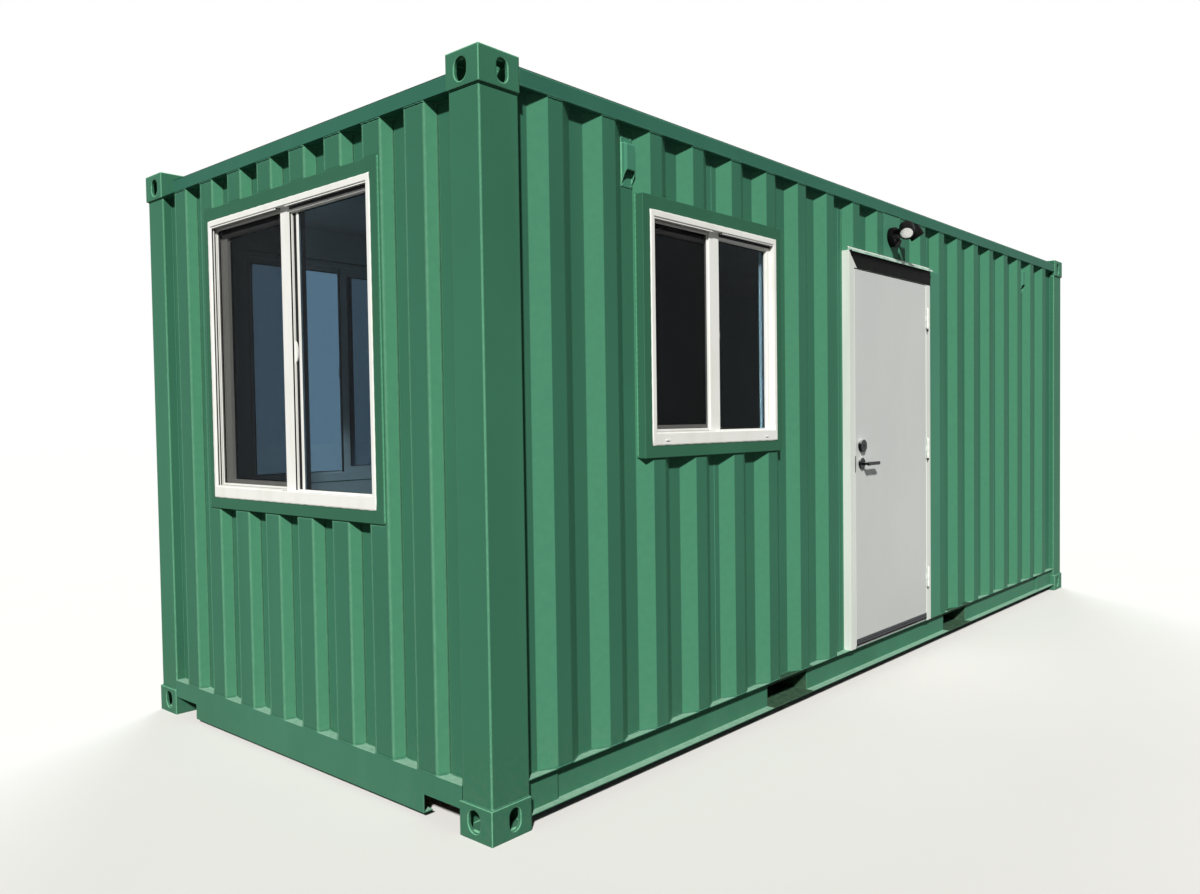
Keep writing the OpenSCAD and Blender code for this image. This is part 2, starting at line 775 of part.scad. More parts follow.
// Ceiling under the rails, notched round the top castings
module ceiling_panel() {
    reach = header_x - lip_wall;
    color(white) {
        difference() {
            span([-reach, -side_in_y, ceiling_z], [reach, side_in_y, top_rail_z0]);
            both_x() both_y() span([-hx, -hy, top_cast_z], [-post_in_x, -cast_in_y, top_rail_z0 + over]);
        }
    }
}

// Steel surround: face plate, outer rim down to the wall sheet and an inner rim through the lining
module surround(wid, hgt, rim, reveal) {
    t = surround_wall;
    edge = wid / 2 + surround_side;
    difference() {
        union() {
            difference() {
                span([-edge, 0, -surround_foot], [edge, rim, hgt + surround_top]);
                span([t - edge, t, t - surround_foot], [edge - t, rim + over, hgt + surround_top - t]);
            }
            span([-wid / 2 - t, 0, -t], [wid / 2 + t, reveal, hgt + t]);
        }
        span([-wid / 2, -over, 0], [wid / 2, reveal + over, hgt]);
    }
}

module front_window_surround() {
    color(green) at_front() surround(big_wid, big_hgt, end_rim, end_reveal);
}

module side_window_surround() {
    color(green) at_side() surround(small_wid, small_hgt, side_rim, side_reveal);
}

module back_window_surround() {
    color(green) at_back() surround(big_wid, big_hgt, side_rim, side_reveal);
}

// Vinyl frame: a ring with a wide sill, and the fixed sash in the outer track of its right half
module slider_frame(wid, hgt) {
    w = wid / 2 - seat_gap;
    z0 = seat_gap + frame_sill;
    z1 = hgt - seat_gap - frame_head;
    difference() {
        span([-w, -frame_proud, seat_gap], [w, frame_depth - frame_proud, hgt - seat_gap]);
        span([-w + frame_side, -frame_proud - over, z0], [w - frame_side, frame_depth, z1]);
    }
    difference() {
        span([meeting_x0, fixed_set, z0 - over], [w - frame_side + over, fixed_set + sash_thk, z1 + over]);
        span([meeting_x1, fixed_set - over, z0 + fixed_foot],
             [w - frame_side - fixed_stile, fixed_set + sash_thk + over, z1 - fixed_rail]);
    }
}

// Sliding sash on the inner track of the left half
module slider_sash(wid, hgt) {
    x0 = -wid / 2 + 2 * seat_gap + frame_side;
    x1 = meeting_x1 + sash_lap;
    z0 = 2 * seat_gap + frame_sill;
    z1 = hgt - 2 * seat_gap - frame_head;
    difference() {
        span([x0, sash_set, z0], [x1, sash_set + sash_thk, z1]);
        span([x0 + sash_face, sash_set - over, z0 + sash_foot],
             [x1 - sash_face, sash_set + sash_thk + over, z1 - sash_face]);
    }
}

// Pane of the fixed sash, and the pane of the sliding sash
module slider_glass(wid, hgt) {
    x0 = -wid / 2 + 3 * seat_gap + frame_side + sash_face;
    x1 = meeting_x1 + sash_lap - sash_face - seat_gap;
    x2 = wid / 2 - 2 * seat_gap - frame_side - fixed_stile;
    z0 = 2 * seat_gap + frame_sill;
    z1 = hgt - 2 * seat_gap - frame_head;
    translate([0, fixed_set + pane_in, 0])
        span([meeting_x1 + seat_gap, 0, z0 + fixed_foot], [x2, glass_thk, z1 - fixed_rail]);
    translate([0, sash_set + pane_in, 0])
        span([x0, 0, z0 + sash_foot + seat_gap], [x1, glass_thk, z1 - sash_face - seat_gap]);
}

module front_window_frame() {
    color(white) at_front() slider_frame(big_wid, big_hgt);
}

module side_window_frame() {
    color(white) at_side() slider_frame(small_wid, small_hgt);
}

module back_window_frame() {
    color(white) at_back() slider_frame(big_wid, big_hgt);
}

module window_sashes() {
    color(white) {
        at_front() slider_sash(big_wid, big_hgt);
        at_side() slider_sash(small_wid, small_hgt);
        at_back() slider_sash(big_wid, big_hgt);
    }
}

module window_glass() {
    color([0.6, 0.75, 0.8, 0.4]) {
        at_front() slider_glass(big_wid, big_hgt);
        at_side() slider_glass(small_wid, small_hgt);
        at_back() slider_glass(big_wid, big_hgt);
    }
}

// The doorway as a cutter: the rebate for the leaf, and the narrower way between the stops
module doorway(grow) {
    head = door_top_z - head_hgt;
    span([door_x0 + jamb_wid - grow, frame_y - over, rail_top_z - 2 * over],
         [door_x1 - jamb_wid + grow, frame_y + rebate_dep + grow, head + grow]);
    span([door_x0 + jamb_wid + stop_wid - grow, frame_y - over, rail_top_z - 2 * over],
         [door_x1 - jamb_wid - stop_wid + grow, -room_y + over, head - stop_wid + grow]);
}

// Pressed hollow frame, open at the feet of its jambs
module door_frame() {
    color(white) difference() {
        span([door_x0, frame_y, rail_top_z], [door_x1, -room_y, door_top_z]);
        doorway(0);
        difference() {
            span([door_x0 + door_sheet, frame_y + door_sheet, rail_top_z - over],
                 [door_x1 - door_sheet, -room_y - door_sheet, door_top_z - door_sheet]);
            doorway(door_sheet);
        }
    }
}

module door_threshold() {
    color("gray") span([door_x0 + jamb_wid + stop_wid, -side_crest_y, rail_top_z],
                       [door_x1 - jamb_wid - stop_wid, -room_y, rail_top_z + threshold_hgt]);
}

module door_head_plate() {
    color([0.12, 0.13, 0.13]) translate([0, frame_y, 0]) rotate([90, 0, 0])
        linear_extrude(head_plate) polygon([
            [door_x0, door_top_z], [door_x0 + head_mitre, door_top_z - head_hgt],
            [door_x1, door_top_z - head_hgt], [door_x1, door_top_z]]);
}

// Folded cap over the head: a shelf with a turned-down lip and an upstand against the wall crests
module door_drip_cap() {
    t = head_plate;
    color([0.75, 0.85, 0.8]) {
        span([door_x0, frame_y - cap_out, door_top_z], [door_x1, -side_crest_y, door_top_z + t]);
        span([door_x0, frame_y - cap_out, door_top_z + t - cap_lip],
             [door_x1, frame_y - cap_out + t, door_top_z + t]);
        span([door_x0, -side_crest_y - t, door_top_z], [door_x1, -side_crest_y, door_top_z + cap_up]);
    }
}

// Hollow leaf, open at its foot, bored for the lever's spindle
module door_leaf() {
    color(white) difference() {
        span([leaf_x0, leaf_y0, leaf_z0], [leaf_x1, leaf_y1, leaf_z1]);
        span([leaf_x0 + door_sheet, leaf_y0 + door_sheet, leaf_z0 - over],
             [leaf_x1 - door_sheet, leaf_y1 - door_sheet, leaf_z1 - door_sheet]);
        translate([lever_x, leaf_y0 - over, lever_z]) rotate([-90, 0, 0])
            cylinder(r = spindle_r + seat_gap, h = leaf_thk + 2 * over);
    }
}

// Fixed half of a hinge: the plate on the jamb, two knuckles and the pin
module hinge_fixed() {
    half = hinge_len / 2;
    mid = hinge_len / 6;
    jamb_x = door_x1 - jamb_wid;
    span([jamb_x - hinge_thk, frame_y, -half], [jamb_x, frame_y + leaf_thk - 2 * pin_r, half]);
    translate([hinge_x, hinge_y, -half - pin_r]) cylinder(r = pin_r, h = hinge_len + 2 * pin_r);
    for (s = [0, 1]) mirror([0, 0, s]) {
        translate([hinge_x, hinge_y, mid + knuckle_gap])
            cylinder(r = knuckle_r, h = half - mid - knuckle_gap);
        span([jamb_x - hinge_thk, hinge_y, mid + knuckle_gap], [jamb_x, frame_y + over, half]);
    }
}

// Moving half of a hinge: the plate on the leaf's edge and the middle knuckle
module hinge_moving() {
    half = hinge_len / 2;
    reach = hinge_len / 6 - knuckle_gap;
    difference() {
        union() {
            span([leaf_x1, leaf_y0, -half], [leaf_x1 + hinge_thk, leaf_y0 + leaf_thk - 2 * pin_r, half]);
            translate([hinge_x, hinge_y, -reach]) cylinder(r = knuckle_r, h = 2 * reach);
            span([leaf_x1, hinge_y, -reach], [leaf_x1 + hinge_thk, leaf_y0 + over, reach]);
        }
        translate([hinge_x, hinge_y, -half]) cylinder(r = pin_r + run_gap, h = hinge_len);
    }
}

module hinge_pins() {
    color("silver") for (z = [hinge_low_z, hinge_mid_z, hinge_high_z]) translate([0, 0, z]) hinge_fixed();
}

module hinge_knuckles() {
    color("silver") for (z = [hinge_low_z, hinge_mid_z, hinge_high_z]) translate([0, 0, z]) hinge_moving();
}

// Round cover on a face of the leaf, with a bore for the spindle where it has one
module rose(y, r, dep, bore) {
    translate([lever_x, y, 0]) rotate([-90, 0, 0]) difference() {
        cylinder(r = r, h = dep);
        if (bore > 0) translate([0, 0, -over]) cylinder(r = bore, h = dep + 2 * over);
    }
}

module door_lock_roses() {
    bore = spindle_r + run_gap;
    color("silver") {
        translate([0, 0, lever_z]) rose(leaf_y0 - rose_out, rose_r, rose_out, bore);
        translate([0, 0, lever_z]) rose(leaf_y1, rose_r, rose_out, bore);
        translate([0, 0, bolt_z]) rose(leaf_y0 - collar_out, collar_r, collar_out, 0);
        translate([0, 0, bolt_z]) rose(leaf_y1, collar_r, collar_out, 0);
    }
}

// Lever arm with a round end, outward from the plane y0
module lever_arm(y0) {
    translate([lever_x, y0, lever_z]) {
        rotate([-90, 0, 0]) cylinder(r = spindle_r + 3, h = lever_thk);
        translate([lever_len - lever_r, 0, 0]) rotate([-90, 0, 0]) cylinder(r = lever_r, h = lever_thk);
        translate([0, 0, -lever_r]) cube([lever_len - lever_r, lever_thk, 2 * lever_r]);
    }
}

module door_lever() {
    color("silver") {
        lever_arm(leaf_y0 - lever_out);
        lever_arm(leaf_y1 + lever_out - lever_thk);
        translate([lever_x, leaf_y0 - lever_out, lever_z]) rotate([-90, 0, 0])
            cylinder(r = spindle_r, h = leaf_thk + 2 * lever_out);
    }
}

// Middle of a lamp head's face, and the direction it looks in
function head_face(s) = [lamp_x + s * head_spread, lamp_y - head_reach, lamp_z - 5];
function head_aim(s, turn, tilt) = [s * sin(turn) * cos(tilt), -cos(turn) * cos(tilt), -sin(tilt)];

// A round bar between two places
module bar(from, to, r) {
    d = to - from;
    translate(from) rotate([0, acos(d[2] / norm(d)), atan2(d[1], d[0])]) cylinder(r = r, h = norm(d));
}

// One lamp head on its arm, recessed for its lens
module lamp_head(s, turn, tilt) {
    face = head_face(s);
    aim = head_aim(s, turn, tilt);
    difference() {
        union() {
            bar(face - aim * head_len, face, head_r);
            bar([lamp_x + s * canopy_r / 3, lamp_y - canopy_out + over, lamp_z + canopy_r / 2],
                face - aim * head_len * 0.7, 11);
        }
        bar(face - aim * lens_dep, face + aim * over, head_r - 3.5);
    }
}

module floodlight() {
    color([0.08, 0.08, 0.09]) {
        translate([lamp_x, lamp_y, lamp_z]) rotate([90, 0, 0]) cylinder(r = canopy_r, h = canopy_out);
        lamp_head(-1, left_turn, left_tilt);
        lamp_head(1, right_turn, right_tilt);
        bar([lamp_x - 6, lamp_y - canopy_out + 8, lamp_z - 22],
            [lamp_x - 6, lamp_y - canopy_out - 15, lamp_z - 41], sensor_r);
    }
}

// Outline of a vent's hood from above, grown or shrunk by its sheet
module hood_plan(shrink) {
    w = vent_wid / 2 - shrink;
    d = vent_out - shrink;
    polygon([[-w, 0], [-w, vent_bevel - d], [vent_bevel - w, -d],
             [w - vent_bevel, -d], [w, vent_bevel - d], [w, 0]]);
}

// Pressed hood on a flange, hollow, with a sloping mouth that faces down and out
module vent() {
    z0 = vent_z + vent_foot;
    z1 = z0 + vent_hgt;
    difference() {
        union() {
            translate([-vent_back_wid / 2, -vent_wall, vent_z])
                cube([vent_back_wid, vent_wall, vent_back_hgt]);
            intersection() {
                translate([0, 0, z0]) linear_extrude(vent_hgt) hood_plan(0);
                translate([-vent_wid, 0, 0]) rotate([90, 0, 90]) linear_extrude(2 * vent_wid) polygon([
                    [0, z0], [-2 * vent_wall, z0], [-vent_out, z0 + vent_mouth],
                    [-vent_out, z1 - vent_bevel], [vent_bevel - vent_out, z1], [0, z1]]);
            }
        }
        intersection() {
            translate([0, 0, z0 - over]) linear_extrude(vent_hgt - vent_bevel) hood_plan(vent_wall);
            span([-vent_wid, -vent_out, z0 - over], [vent_wid, -vent_wall, z1]);
        }
    }
}

module vents() {
    first = side_start + side_pitch * 1.5;
    last = side_start + side_pitch * (side_count - 2.5);
    color(green) {
        translate([first, -side_valley_y, 0]) vent();
        translate([last, -side_valley_y, 0]) vent();
        mirror([0, 1, 0]) translate([last, -side_valley_y, 0]) vent();
    }
}

bottom_corner_castings();
top_corner_castings();
corner_posts();
bottom_side_rails();
end_sills();
top_side_rails();
end_headers();
floor_crossmembers();
forklift_pockets();
floor_deck();
roof_panel();
door_side_wall_left();
door_side_wall_over_door();
door_side_wall_right();
wall_closing_plates();
back_wall_window_part();
back_wall_plain_part();
front_wall();
rear_wall();
lining_door_side_left();
lining_over_door();
lining_door_side_right();
lining_back();
lining_front();
lining_rear();
ceiling_panel();
front_window_surround();
side_window_surround();
back_window_surround();
front_window_frame();
side_window_frame();
back_window_frame();
window_sashes();
window_glass();
door_frame();
door_threshold();
door_head_plate();
door_drip_cap();
door_leaf();
hinge_pins();
hinge_knuckles();
door_lock_roses();
door_lever();
floodlight();
vents();
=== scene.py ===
import bpy
import bmesh
import math
from mathutils import Vector, Matrix


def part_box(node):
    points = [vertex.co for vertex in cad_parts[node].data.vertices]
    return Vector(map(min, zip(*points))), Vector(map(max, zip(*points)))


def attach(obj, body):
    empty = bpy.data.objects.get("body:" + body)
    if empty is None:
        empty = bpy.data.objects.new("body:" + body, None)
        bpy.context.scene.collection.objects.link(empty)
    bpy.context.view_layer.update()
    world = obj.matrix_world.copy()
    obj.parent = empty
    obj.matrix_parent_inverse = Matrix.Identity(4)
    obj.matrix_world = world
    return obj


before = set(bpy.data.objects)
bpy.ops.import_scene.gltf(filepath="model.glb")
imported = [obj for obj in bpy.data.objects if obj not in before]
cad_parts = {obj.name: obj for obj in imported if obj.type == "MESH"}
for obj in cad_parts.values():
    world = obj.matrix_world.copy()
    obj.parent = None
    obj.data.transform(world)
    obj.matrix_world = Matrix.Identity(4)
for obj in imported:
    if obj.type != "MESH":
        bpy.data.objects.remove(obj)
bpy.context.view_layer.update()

# The view of the cabin from its window end, a little below eye height.
# The camera stands about three metres out from the near corner. It leans by
# less than a degree and has the small sideways shift of its framing.
eye = Vector((-5.06487, -3.55137, 1.38503))
turn, lift, roll = math.radians(48.943), math.radians(-1.910), math.radians(-0.796)
ahead = Vector((math.cos(lift) * math.sin(turn), math.cos(lift) * math.cos(turn), math.sin(lift)))
side = ahead.cross(Vector((0, 0, 1))).normalized()
above = side.cross(ahead)
level = side * math.cos(roll) + above * math.sin(roll)
above = above * math.cos(roll) - side * math.sin(roll)
eye_data = bpy.data.cameras.new("cabin_view")
eye_data.lens = 28.675
eye_data.sensor_width = 36.0
eye_data.shift_x = -0.01377
eye_data.shift_y = 0.00483
eye_data.clip_end = 200
eye_object = bpy.data.objects.new("cabin_view", eye_data)
eye_turn = Matrix((level, above, -ahead)).transposed().to_4x4()
eye_object.matrix_world = Matrix.Translation(eye) @ eye_turn
bpy.context.scene.collection.objects.link(eye_object)
bpy.context.scene.camera = eye_object
bpy.context.scene.view_settings.view_transform = "Standard"


# Corner castings: eight cast steel blocks with round-ended holes, welded to
# the posts and painted with the rest of the shell. The cast faces are rougher
# than the rolled sheets, and every edge is blunt under the paint.
class Value:
    """A socket of a finish that takes part in sums."""

    def __init__(self, finish, socket):
        self.finish = finish
        self.socket = socket

    def reckon(self, operation, first, second):
        return self.finish.node("ShaderNodeMath", {"operation": operation}, {0: first, 1: second})

    def __add__(self, other): return self.reckon("ADD", self, other)
    def __radd__(self, other): return self.reckon("ADD", other, self)
    def __rsub__(self, other): return self.reckon("SUBTRACT", other, self)
    def __mul__(self, other): return self.reckon("MULTIPLY", self, other)
    def __pow__(self, other): return self.reckon("POWER", self, other)


class Nodes:
    """The nodes of one tree, made in one way."""

    def __init__(self, tree):
        self.tree = tree

    def node(self, kind, settings, inputs, output=0):
        made = self.tree.nodes.new(kind)
        for name, value in settings.items():
            setattr(made, name, value)
        for name, value in inputs.items():
            if isinstance(value, Value):
                self.tree.links.new(value.socket, made.inputs[name])
            else:
                made.inputs[name].default_value = value
        return Value(self, made.outputs[output])


class Finish(Nodes):
    """A painted, moulded or bare surface, built from nodes."""

    def __init__(self, name, **fixed):
        self.material = bpy.data.materials.new(name)
        self.material.use_nodes = True
        super().__init__(self.material.node_tree)
        self.shader = self.tree.nodes["Principled BSDF"]
        for socket, value in fixed.items():
            self.shader.inputs[socket.replace("_", " ")].default_value = value

    def where(self):
        # The place on the piece, in metres.
        return self.node("ShaderNodeTexCoord", {}, {}, "Object")

    def place(self, stretch=(1, 1, 1)):
        return self.node("ShaderNodeVectorMath", {"operation": "MULTIPLY"}, {
            0: self.where(), 1: stretch})

    def noise(self, scale, detail, stretch=(1, 1, 1), rough=0.55):
        return self.node("ShaderNodeTexNoise", {}, {
            "Vector": self.place(stretch), "Scale": scale, "Detail": detail, "Roughness": rough})

    def part(self, axis, vector):
        return self.node("ShaderNodeSeparateXYZ", {}, {0: vector}, axis)

    def facing(self):
        # The way that the surface looks.
        return self.node("ShaderNodeTexCoord", {}, {}, "Normal")

    def fade(self, value, low, high):
        return self.node("ShaderNodeMapRange", {"clamp": True}, {
            0: value, 1: low, 2: high, 3: 0.0, 4: 1.0})

    def even(self, value):
        # The middle of a noise, spread over the whole of 0 to 1.
        return self.fade(value, 0.3, 0.7)

    def mix(self, share, first, second):
        return self.node("ShaderNodeMix", {"data_type": "RGBA"}, {0: share, 6: first, 7: second}, 2)

    def joints(self, axis, start, spacing, width):
        # 1 along the lines between boards or panels laid side by side.
        along = self.part(axis, self.place()) + start
        between = self.node("ShaderNodeMath", {"operation": "PINGPONG"}, {0: along, 1: spacing / 2})
        return 1 - self.fade(between, 0.0, width)

    def feed(self, socket, value):
        self.tree.links.new(value.socket, self.shader.inputs[socket])

    def bump(self, depth, *layers, round_off=None):
        # The layers are heights; the depth is their reach in metres.
        total = layers[0]
        for layer in layers[1:]:
            total = total + layer
        sockets = {"Height": total, "Distance": depth, "Strength": 1.0}
        if round_off:
            sockets["Normal"] = round_off
        self.feed("Normal", self.node("ShaderNodeBump", {}, sockets))


def shade(*tones):
    # A colour as the eye names it, 0 to 255, in the linear values of a shader.
    return tuple(c / 12.92 if c < 0.04045 else ((c + 0.055) / 1.055) ** 2.4
                 for c in (tone / 255 for tone in tones)) + (1.0,)


yard_soil = shade(112, 126, 104)
rust = shade(92, 78, 62)
# Pale for the faces that look up: partly dust, partly painted sky light.
ledge_dust_and_sky_colour = shade(160, 202, 180)
# A painted highlight colour, for the sharper bends.
bend_highlight_colour = shade(140, 214, 172)


def green_paint(name, body=(60, 114, 91), pale=(70, 125, 101), deep=(55, 106, 84),
                grain=1.0, soil=1.0, bend=0.003, ledge_dust_and_sky=0.0, bend_highlight=0.35, lit_slopes=None):
    # Grain is how rough the steel is under the paint, soil is how much the yard
    # has thrown at its foot, and bend is the radius of folded edges. The last three,
    # in order, are how pale the faces that look up are painted, partly dust and
    # partly painted sky light; how strongly the sharper bends are painted pale, a
    # painted highlight; and the paler colour painted on a pressed sheet's slopes as
    # painted light.
    paint = Finish(name, IOR=1.45, Specular_IOR_Level=0.02)
    runs = paint.fade(paint.noise(5.0, 4, (1, 1, 0.06)), 0.52, 0.78)
    fine = paint.noise(38.0, 3)
    colour = paint.mix(paint.even(paint.noise(0.9, 4)), shade(*deep), shade(*body))
    colour = paint.mix(runs * 0.35, colour, shade(*pale))
    if lit_slopes:
        # Painted light: the pressed slopes are painted paler than the flats between them.
        aim = paint.node("ShaderNodeVectorMath", {"operation": "ABSOLUTE"}, {0: paint.facing()})
        square = paint.node("ShaderNodeMath", {"operation": "MAXIMUM"}, {
            0: paint.part("X", aim), 1: paint.part("Y", aim)})
        painted_slope_light = (1 - paint.fade(square, 0.94, 0.985)) * (0.8 + paint.even(fine) * 0.2)
        colour = paint.mix(painted_slope_light, colour, shade(*lit_slopes))
    near_ground = (1 - paint.fade(paint.part("Z", paint.where()), 0.03, 0.55)) ** 2.0
    dust = near_ground * paint.fade(fine, 0.35, 0.75) * (0.25 * soil)
    colour = paint.mix(dust, colour, yard_soil)
    speck = paint.fade(paint.noise(190.0, 2), 0.735, 0.775)
    patch = paint.fade(paint.noise(2.2, 2), 0.52, 0.66)
    chip = speck * patch * 0.5
    colour = paint.mix(chip, colour, rust)
    # The faces that look up are painted pale: partly dust, partly painted sky light.
    if ledge_dust_and_sky:
        upward = paint.fade(paint.part("Z", paint.facing()), 0.5, 0.95)
        dust_and_sky_share = upward * (0.72 + paint.even(fine) * 0.28) * ledge_dust_and_sky
        colour = paint.mix(dust_and_sky_share, colour, ledge_dust_and_sky_colour)
    folded = paint.node("ShaderNodeBevel", {"samples": 6}, {"Radius": bend})
    flat = paint.node("ShaderNodeNewGeometry", {}, {}, "True Normal")
    lean = paint.node("ShaderNodeVectorMath", {"operation": "DOT_PRODUCT"}, {
        0: folded, 1: flat}, "Value")
    # Painted highlight: the sharper bends are painted pale, as if they caught the light.
    bend_highlight_share = (1 - paint.fade(lean, 0.84, 0.96)) * (0.75 + paint.even(fine) * 0.25) * bend_highlight
    colour = paint.mix(bend_highlight_share, colour, bend_highlight_colour)
    paint.feed("Base Color", colour)
    paint.feed("Roughness", 0.36 + paint.even(fine) * 0.12 + runs * 0.1 + dust * 0.4)
    paint.bump(0.0012, paint.noise(260.0, 2) * (0.10 * grain), paint.noise(7.0, 2) * 0.9,
               chip * -0.12, round_off=folded)
    return paint.material


def dress(node, material, blunt=0.0, rounds=2):
    # A piece of the frame keeps its shape: its edges are only blunted by a modifier.
    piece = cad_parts[node]
    for held in piece.material_slots:
        held.material = material
    if not piece.material_slots:
        piece.data.materials.append(material)
    if blunt:
        weld = piece.modifiers.new("closed_edges", "WELD")
        weld.merge_threshold = 0.00002
        bevel = piece.modifiers.new("blunt_edges", "BEVEL")
        bevel.width = blunt
        bevel.segments = rounds
        bevel.limit_method = "ANGLE"
        bevel.angle_limit = math.radians(40)
        bevel.use_clamp_overlap = True
        bevel.harden_normals = False


casting_green = green_paint("casting_green", body=(70, 128, 102), pale=(80, 140, 114),
                            grain=5.0, soil=0.7, bend=0.008, bend_highlight=0.9)
dress("bottom_corner_castings", casting_green, 0.004, 3)
dress("top_corner_castings", casting_green, 0.004, 3)


# Corner posts, rails, sills and headers: folded and rolled steel, painted
# green. Plates meet in lumpy weld beads that were painted over. The rails'
# faces that look up are painted pale, partly dust and partly painted sky
# light, and the lower rails are scuffed by the yard. The posts' bends carry a
# painted highlight.
shell_tones = {"body": (57, 110, 93), "pale": (66, 120, 102), "deep": (51, 102, 85)}
shell_green = green_paint("shell_green", **shell_tones)
post_green = green_paint("post_green", body=(62, 118, 93), pale=(71, 128, 103),
                         deep=(57, 110, 86), bend=0.012, bend_highlight=1.0)
top_green = green_paint("top_green", **shell_tones, bend=0.009, ledge_dust_and_sky=0.5, bend_highlight=0.8)
rail_green = green_paint("rail_green", body=(68, 124, 100), pale=(82, 137, 114),
                         deep=(60, 113, 90), soil=0.6, ledge_dust_and_sky=0.75)
dress("corner_posts", post_green, 0.003)
dress("end_headers", shell_green, 0.003)
dress("top_side_rails", top_green, 0.003)
dress("bottom_side_rails", rail_green, 0.0015)
dress("end_sills", rail_green, 0.0015)


def mesh_piece(name, work, material, body, smooth=True):
    # Makes a piece from its mesh, in place, and lets it ride on a body.
    data = bpy.data.meshes.new(name)
    bmesh.ops.recalc_face_normals(work, faces=work.faces)
    work.to_mesh(data)
    work.free()
    for face in data.polygons:
        face.use_smooth = smooth
    data.materials.append(material)
    piece = bpy.data.objects.new(name, data)
    bpy.context.scene.collection.objects.link(piece)
    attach(piece, body)


def skin(work, rings, foot=True):
    # A wall through rings of points, closed at the last one and, for a foot, the first.
    for near, far in zip(rings, rings[1:]):
        for j in range(len(near)):
            k = (j + 1) % len(near)
            work.faces.new((near[j], near[k], far[k], far[j]))
    work.faces.new(rings[-1])
    if foot:
        work.faces.new(rings[0][::-1])


def run_bead(work, points, radius, lump):
    # One weld bead along a line of points, closed at both ends, with its ripples.
    stops = []
    for i in range(len(points) - 1):
        a, b = Vector(points[i]), Vector(points[i + 1])
        steps = max(1, round((b - a).length / lump))
        for k in range(steps + (1 if i == len(points) - 2 else 0)):
            stops.append((a.lerp(b, k / steps), (b - a).normalized()))
    rings = []
    for i, (centre, along) in enumerate(stops):
        across = along.cross(Vector((0.31, 0.52, 0.79))).normalized()
        up = across.cross(along)
        r = radius * (1.0 + 0.2 * (-1) ** i + 0.08 * math.sin(i * 1.7))
        rings.append([work.verts.new(centre + (across * math.cos(t) + up * math.sin(t)) * r)
                      for t in (math.tau * j / 6 for j in range(6))])
    skin(work, rings)


# The side sheets as the beads follow them: crests and valleys of the outer
# face between the posts, from the bottom rail's top to the top rail's foot.
crest_y, valley_y = 1.211, 1.175
pitch, crest_half, slope = 0.278, 0.036, 0.068
first_crest, crests = -2.675, 20
post_x = 2.851
sheet_foot, sheet_top = 0.174, 2.5
into_corner = 0.0005
door_side_gap = (-0.549, 0.625)


def wall_line(x0, x1, sign, out):
    # Points along the side sheet's outer face between two places.
    spots = [(-post_x, valley_y)]
    for k in range(crests):
        c = first_crest + k * pitch
        spots += [(c - crest_half - slope, valley_y), (c - crest_half, crest_y),
                  (c + crest_half, crest_y), (c + crest_half + slope, valley_y)]
    spots.append((post_x, valley_y))

    def depth(x):
        for (xa, ya), (xb, yb) in zip(spots, spots[1:]):
            if xa <= x <= xb and xb > xa:
                return ya + (yb - ya) * (x - xa) / (xb - xa)
        return valley_y
    inner = [s for s in spots if x0 < s[0] < x1]
    return [(x, sign * (y + out)) for x, y in [(x0, depth(x0))] + inner + [(x1, depth(x1))]]


beads = bmesh.new()
post_corner = ((2.853, 1.2115), (3.0205, 1.2115), (3.0215, 1.211), (3.0215, 1.064))
casting_seams = (0.1185, 2.4725)
for sign in (-1, 1):
    along_foot = [(-post_x, post_x)]
    if sign < 0:
        along_foot = [(-post_x, door_side_gap[0]), (door_side_gap[1], post_x)]
    for x0, x1 in along_foot:
        foot_line = wall_line(x0, x1, sign, 0.001)
        run_bead(beads, [(x, y, sheet_foot - into_corner) for x, y in foot_line], 0.0028, 0.016)
    top_line = wall_line(-post_x, post_x, sign, 0.001)
    run_bead(beads, [(x, y, sheet_top - into_corner) for x, y in top_line], 0.0024, 0.016)
    for end in (-1, 1):
        # up the post beside the sheet, and round the post where the castings meet it
        x, y = end * (post_x - into_corner), sign * (valley_y + 0.0015)
        run_bead(beads, [(x, y, sheet_foot), (x, y, sheet_top)], 0.0026, 0.014)
        for z in casting_seams:
            run_bead(beads, [(end * x, sign * y, z) for x, y in post_corner], 0.003, 0.014)
mesh_piece("frame_weld_beads", beads, shell_green, "shell")


# Corrugated sheets: pressed steel panels, each about 1.1 m wide, butted in
# the valleys and welded with a flat upright seam, then painted with the
# frame. The end sheets have narrow, deep recesses.
# The slopes of these sheets are painted paler as painted light, and their bends carry a painted
# highlight.
sheet_green = green_paint("sheet_green", bend=0.007, bend_highlight=0.08, lit_slopes=(71, 131, 103))
plate_green = green_paint("plate_green", body=(73, 134, 109), pale=(80, 142, 116),
                          deep=(68, 126, 102), bend_highlight=0.1)
end_green = green_paint("end_sheet_green", bend=0.014, bend_highlight=0.55, lit_slopes=(73, 134, 104))
for node in ("door_side_wall_left", "door_side_wall_over_door", "door_side_wall_right",
             "back_wall_window_part", "back_wall_plain_part"):
    dress(node, sheet_green)
dress("wall_closing_plates", plate_green)
dress("front_wall", end_green)
dress("rear_wall", end_green)

seams = bmesh.new()
seam_places = (-1.702, -0.590, 0.522, 1.634)
# Where a seam meets a window or the door, it runs only under and over it.
cut_seams = {(-1, -1.702): [(sheet_foot, 1.236), (2.259, sheet_top)],
             (1, -1.702): [(sheet_foot, 1.02), (2.346, sheet_top)],
             (-1, 0.522): [(2.249, sheet_top)]}
for x in seam_places:
    for sign in (-1, 1):
        for z0, z1 in cut_seams.get((sign, x), [(sheet_foot, sheet_top)]):
            y = sign * (valley_y + 0.0002)
            run_bead(seams, [(x, y, z0), (x, y, z1)], 0.0024, 0.014)
for x in (-0.1312, 0.0632):
    # the flat plate behind the lamp, over the door
    y = -crest_y - 0.0002
    run_bead(seams, [(x, y, 2.2475), (x, y, sheet_top)], 0.0026, 0.012)
mesh_piece("panel_seams", seams, shell_green, "shell")

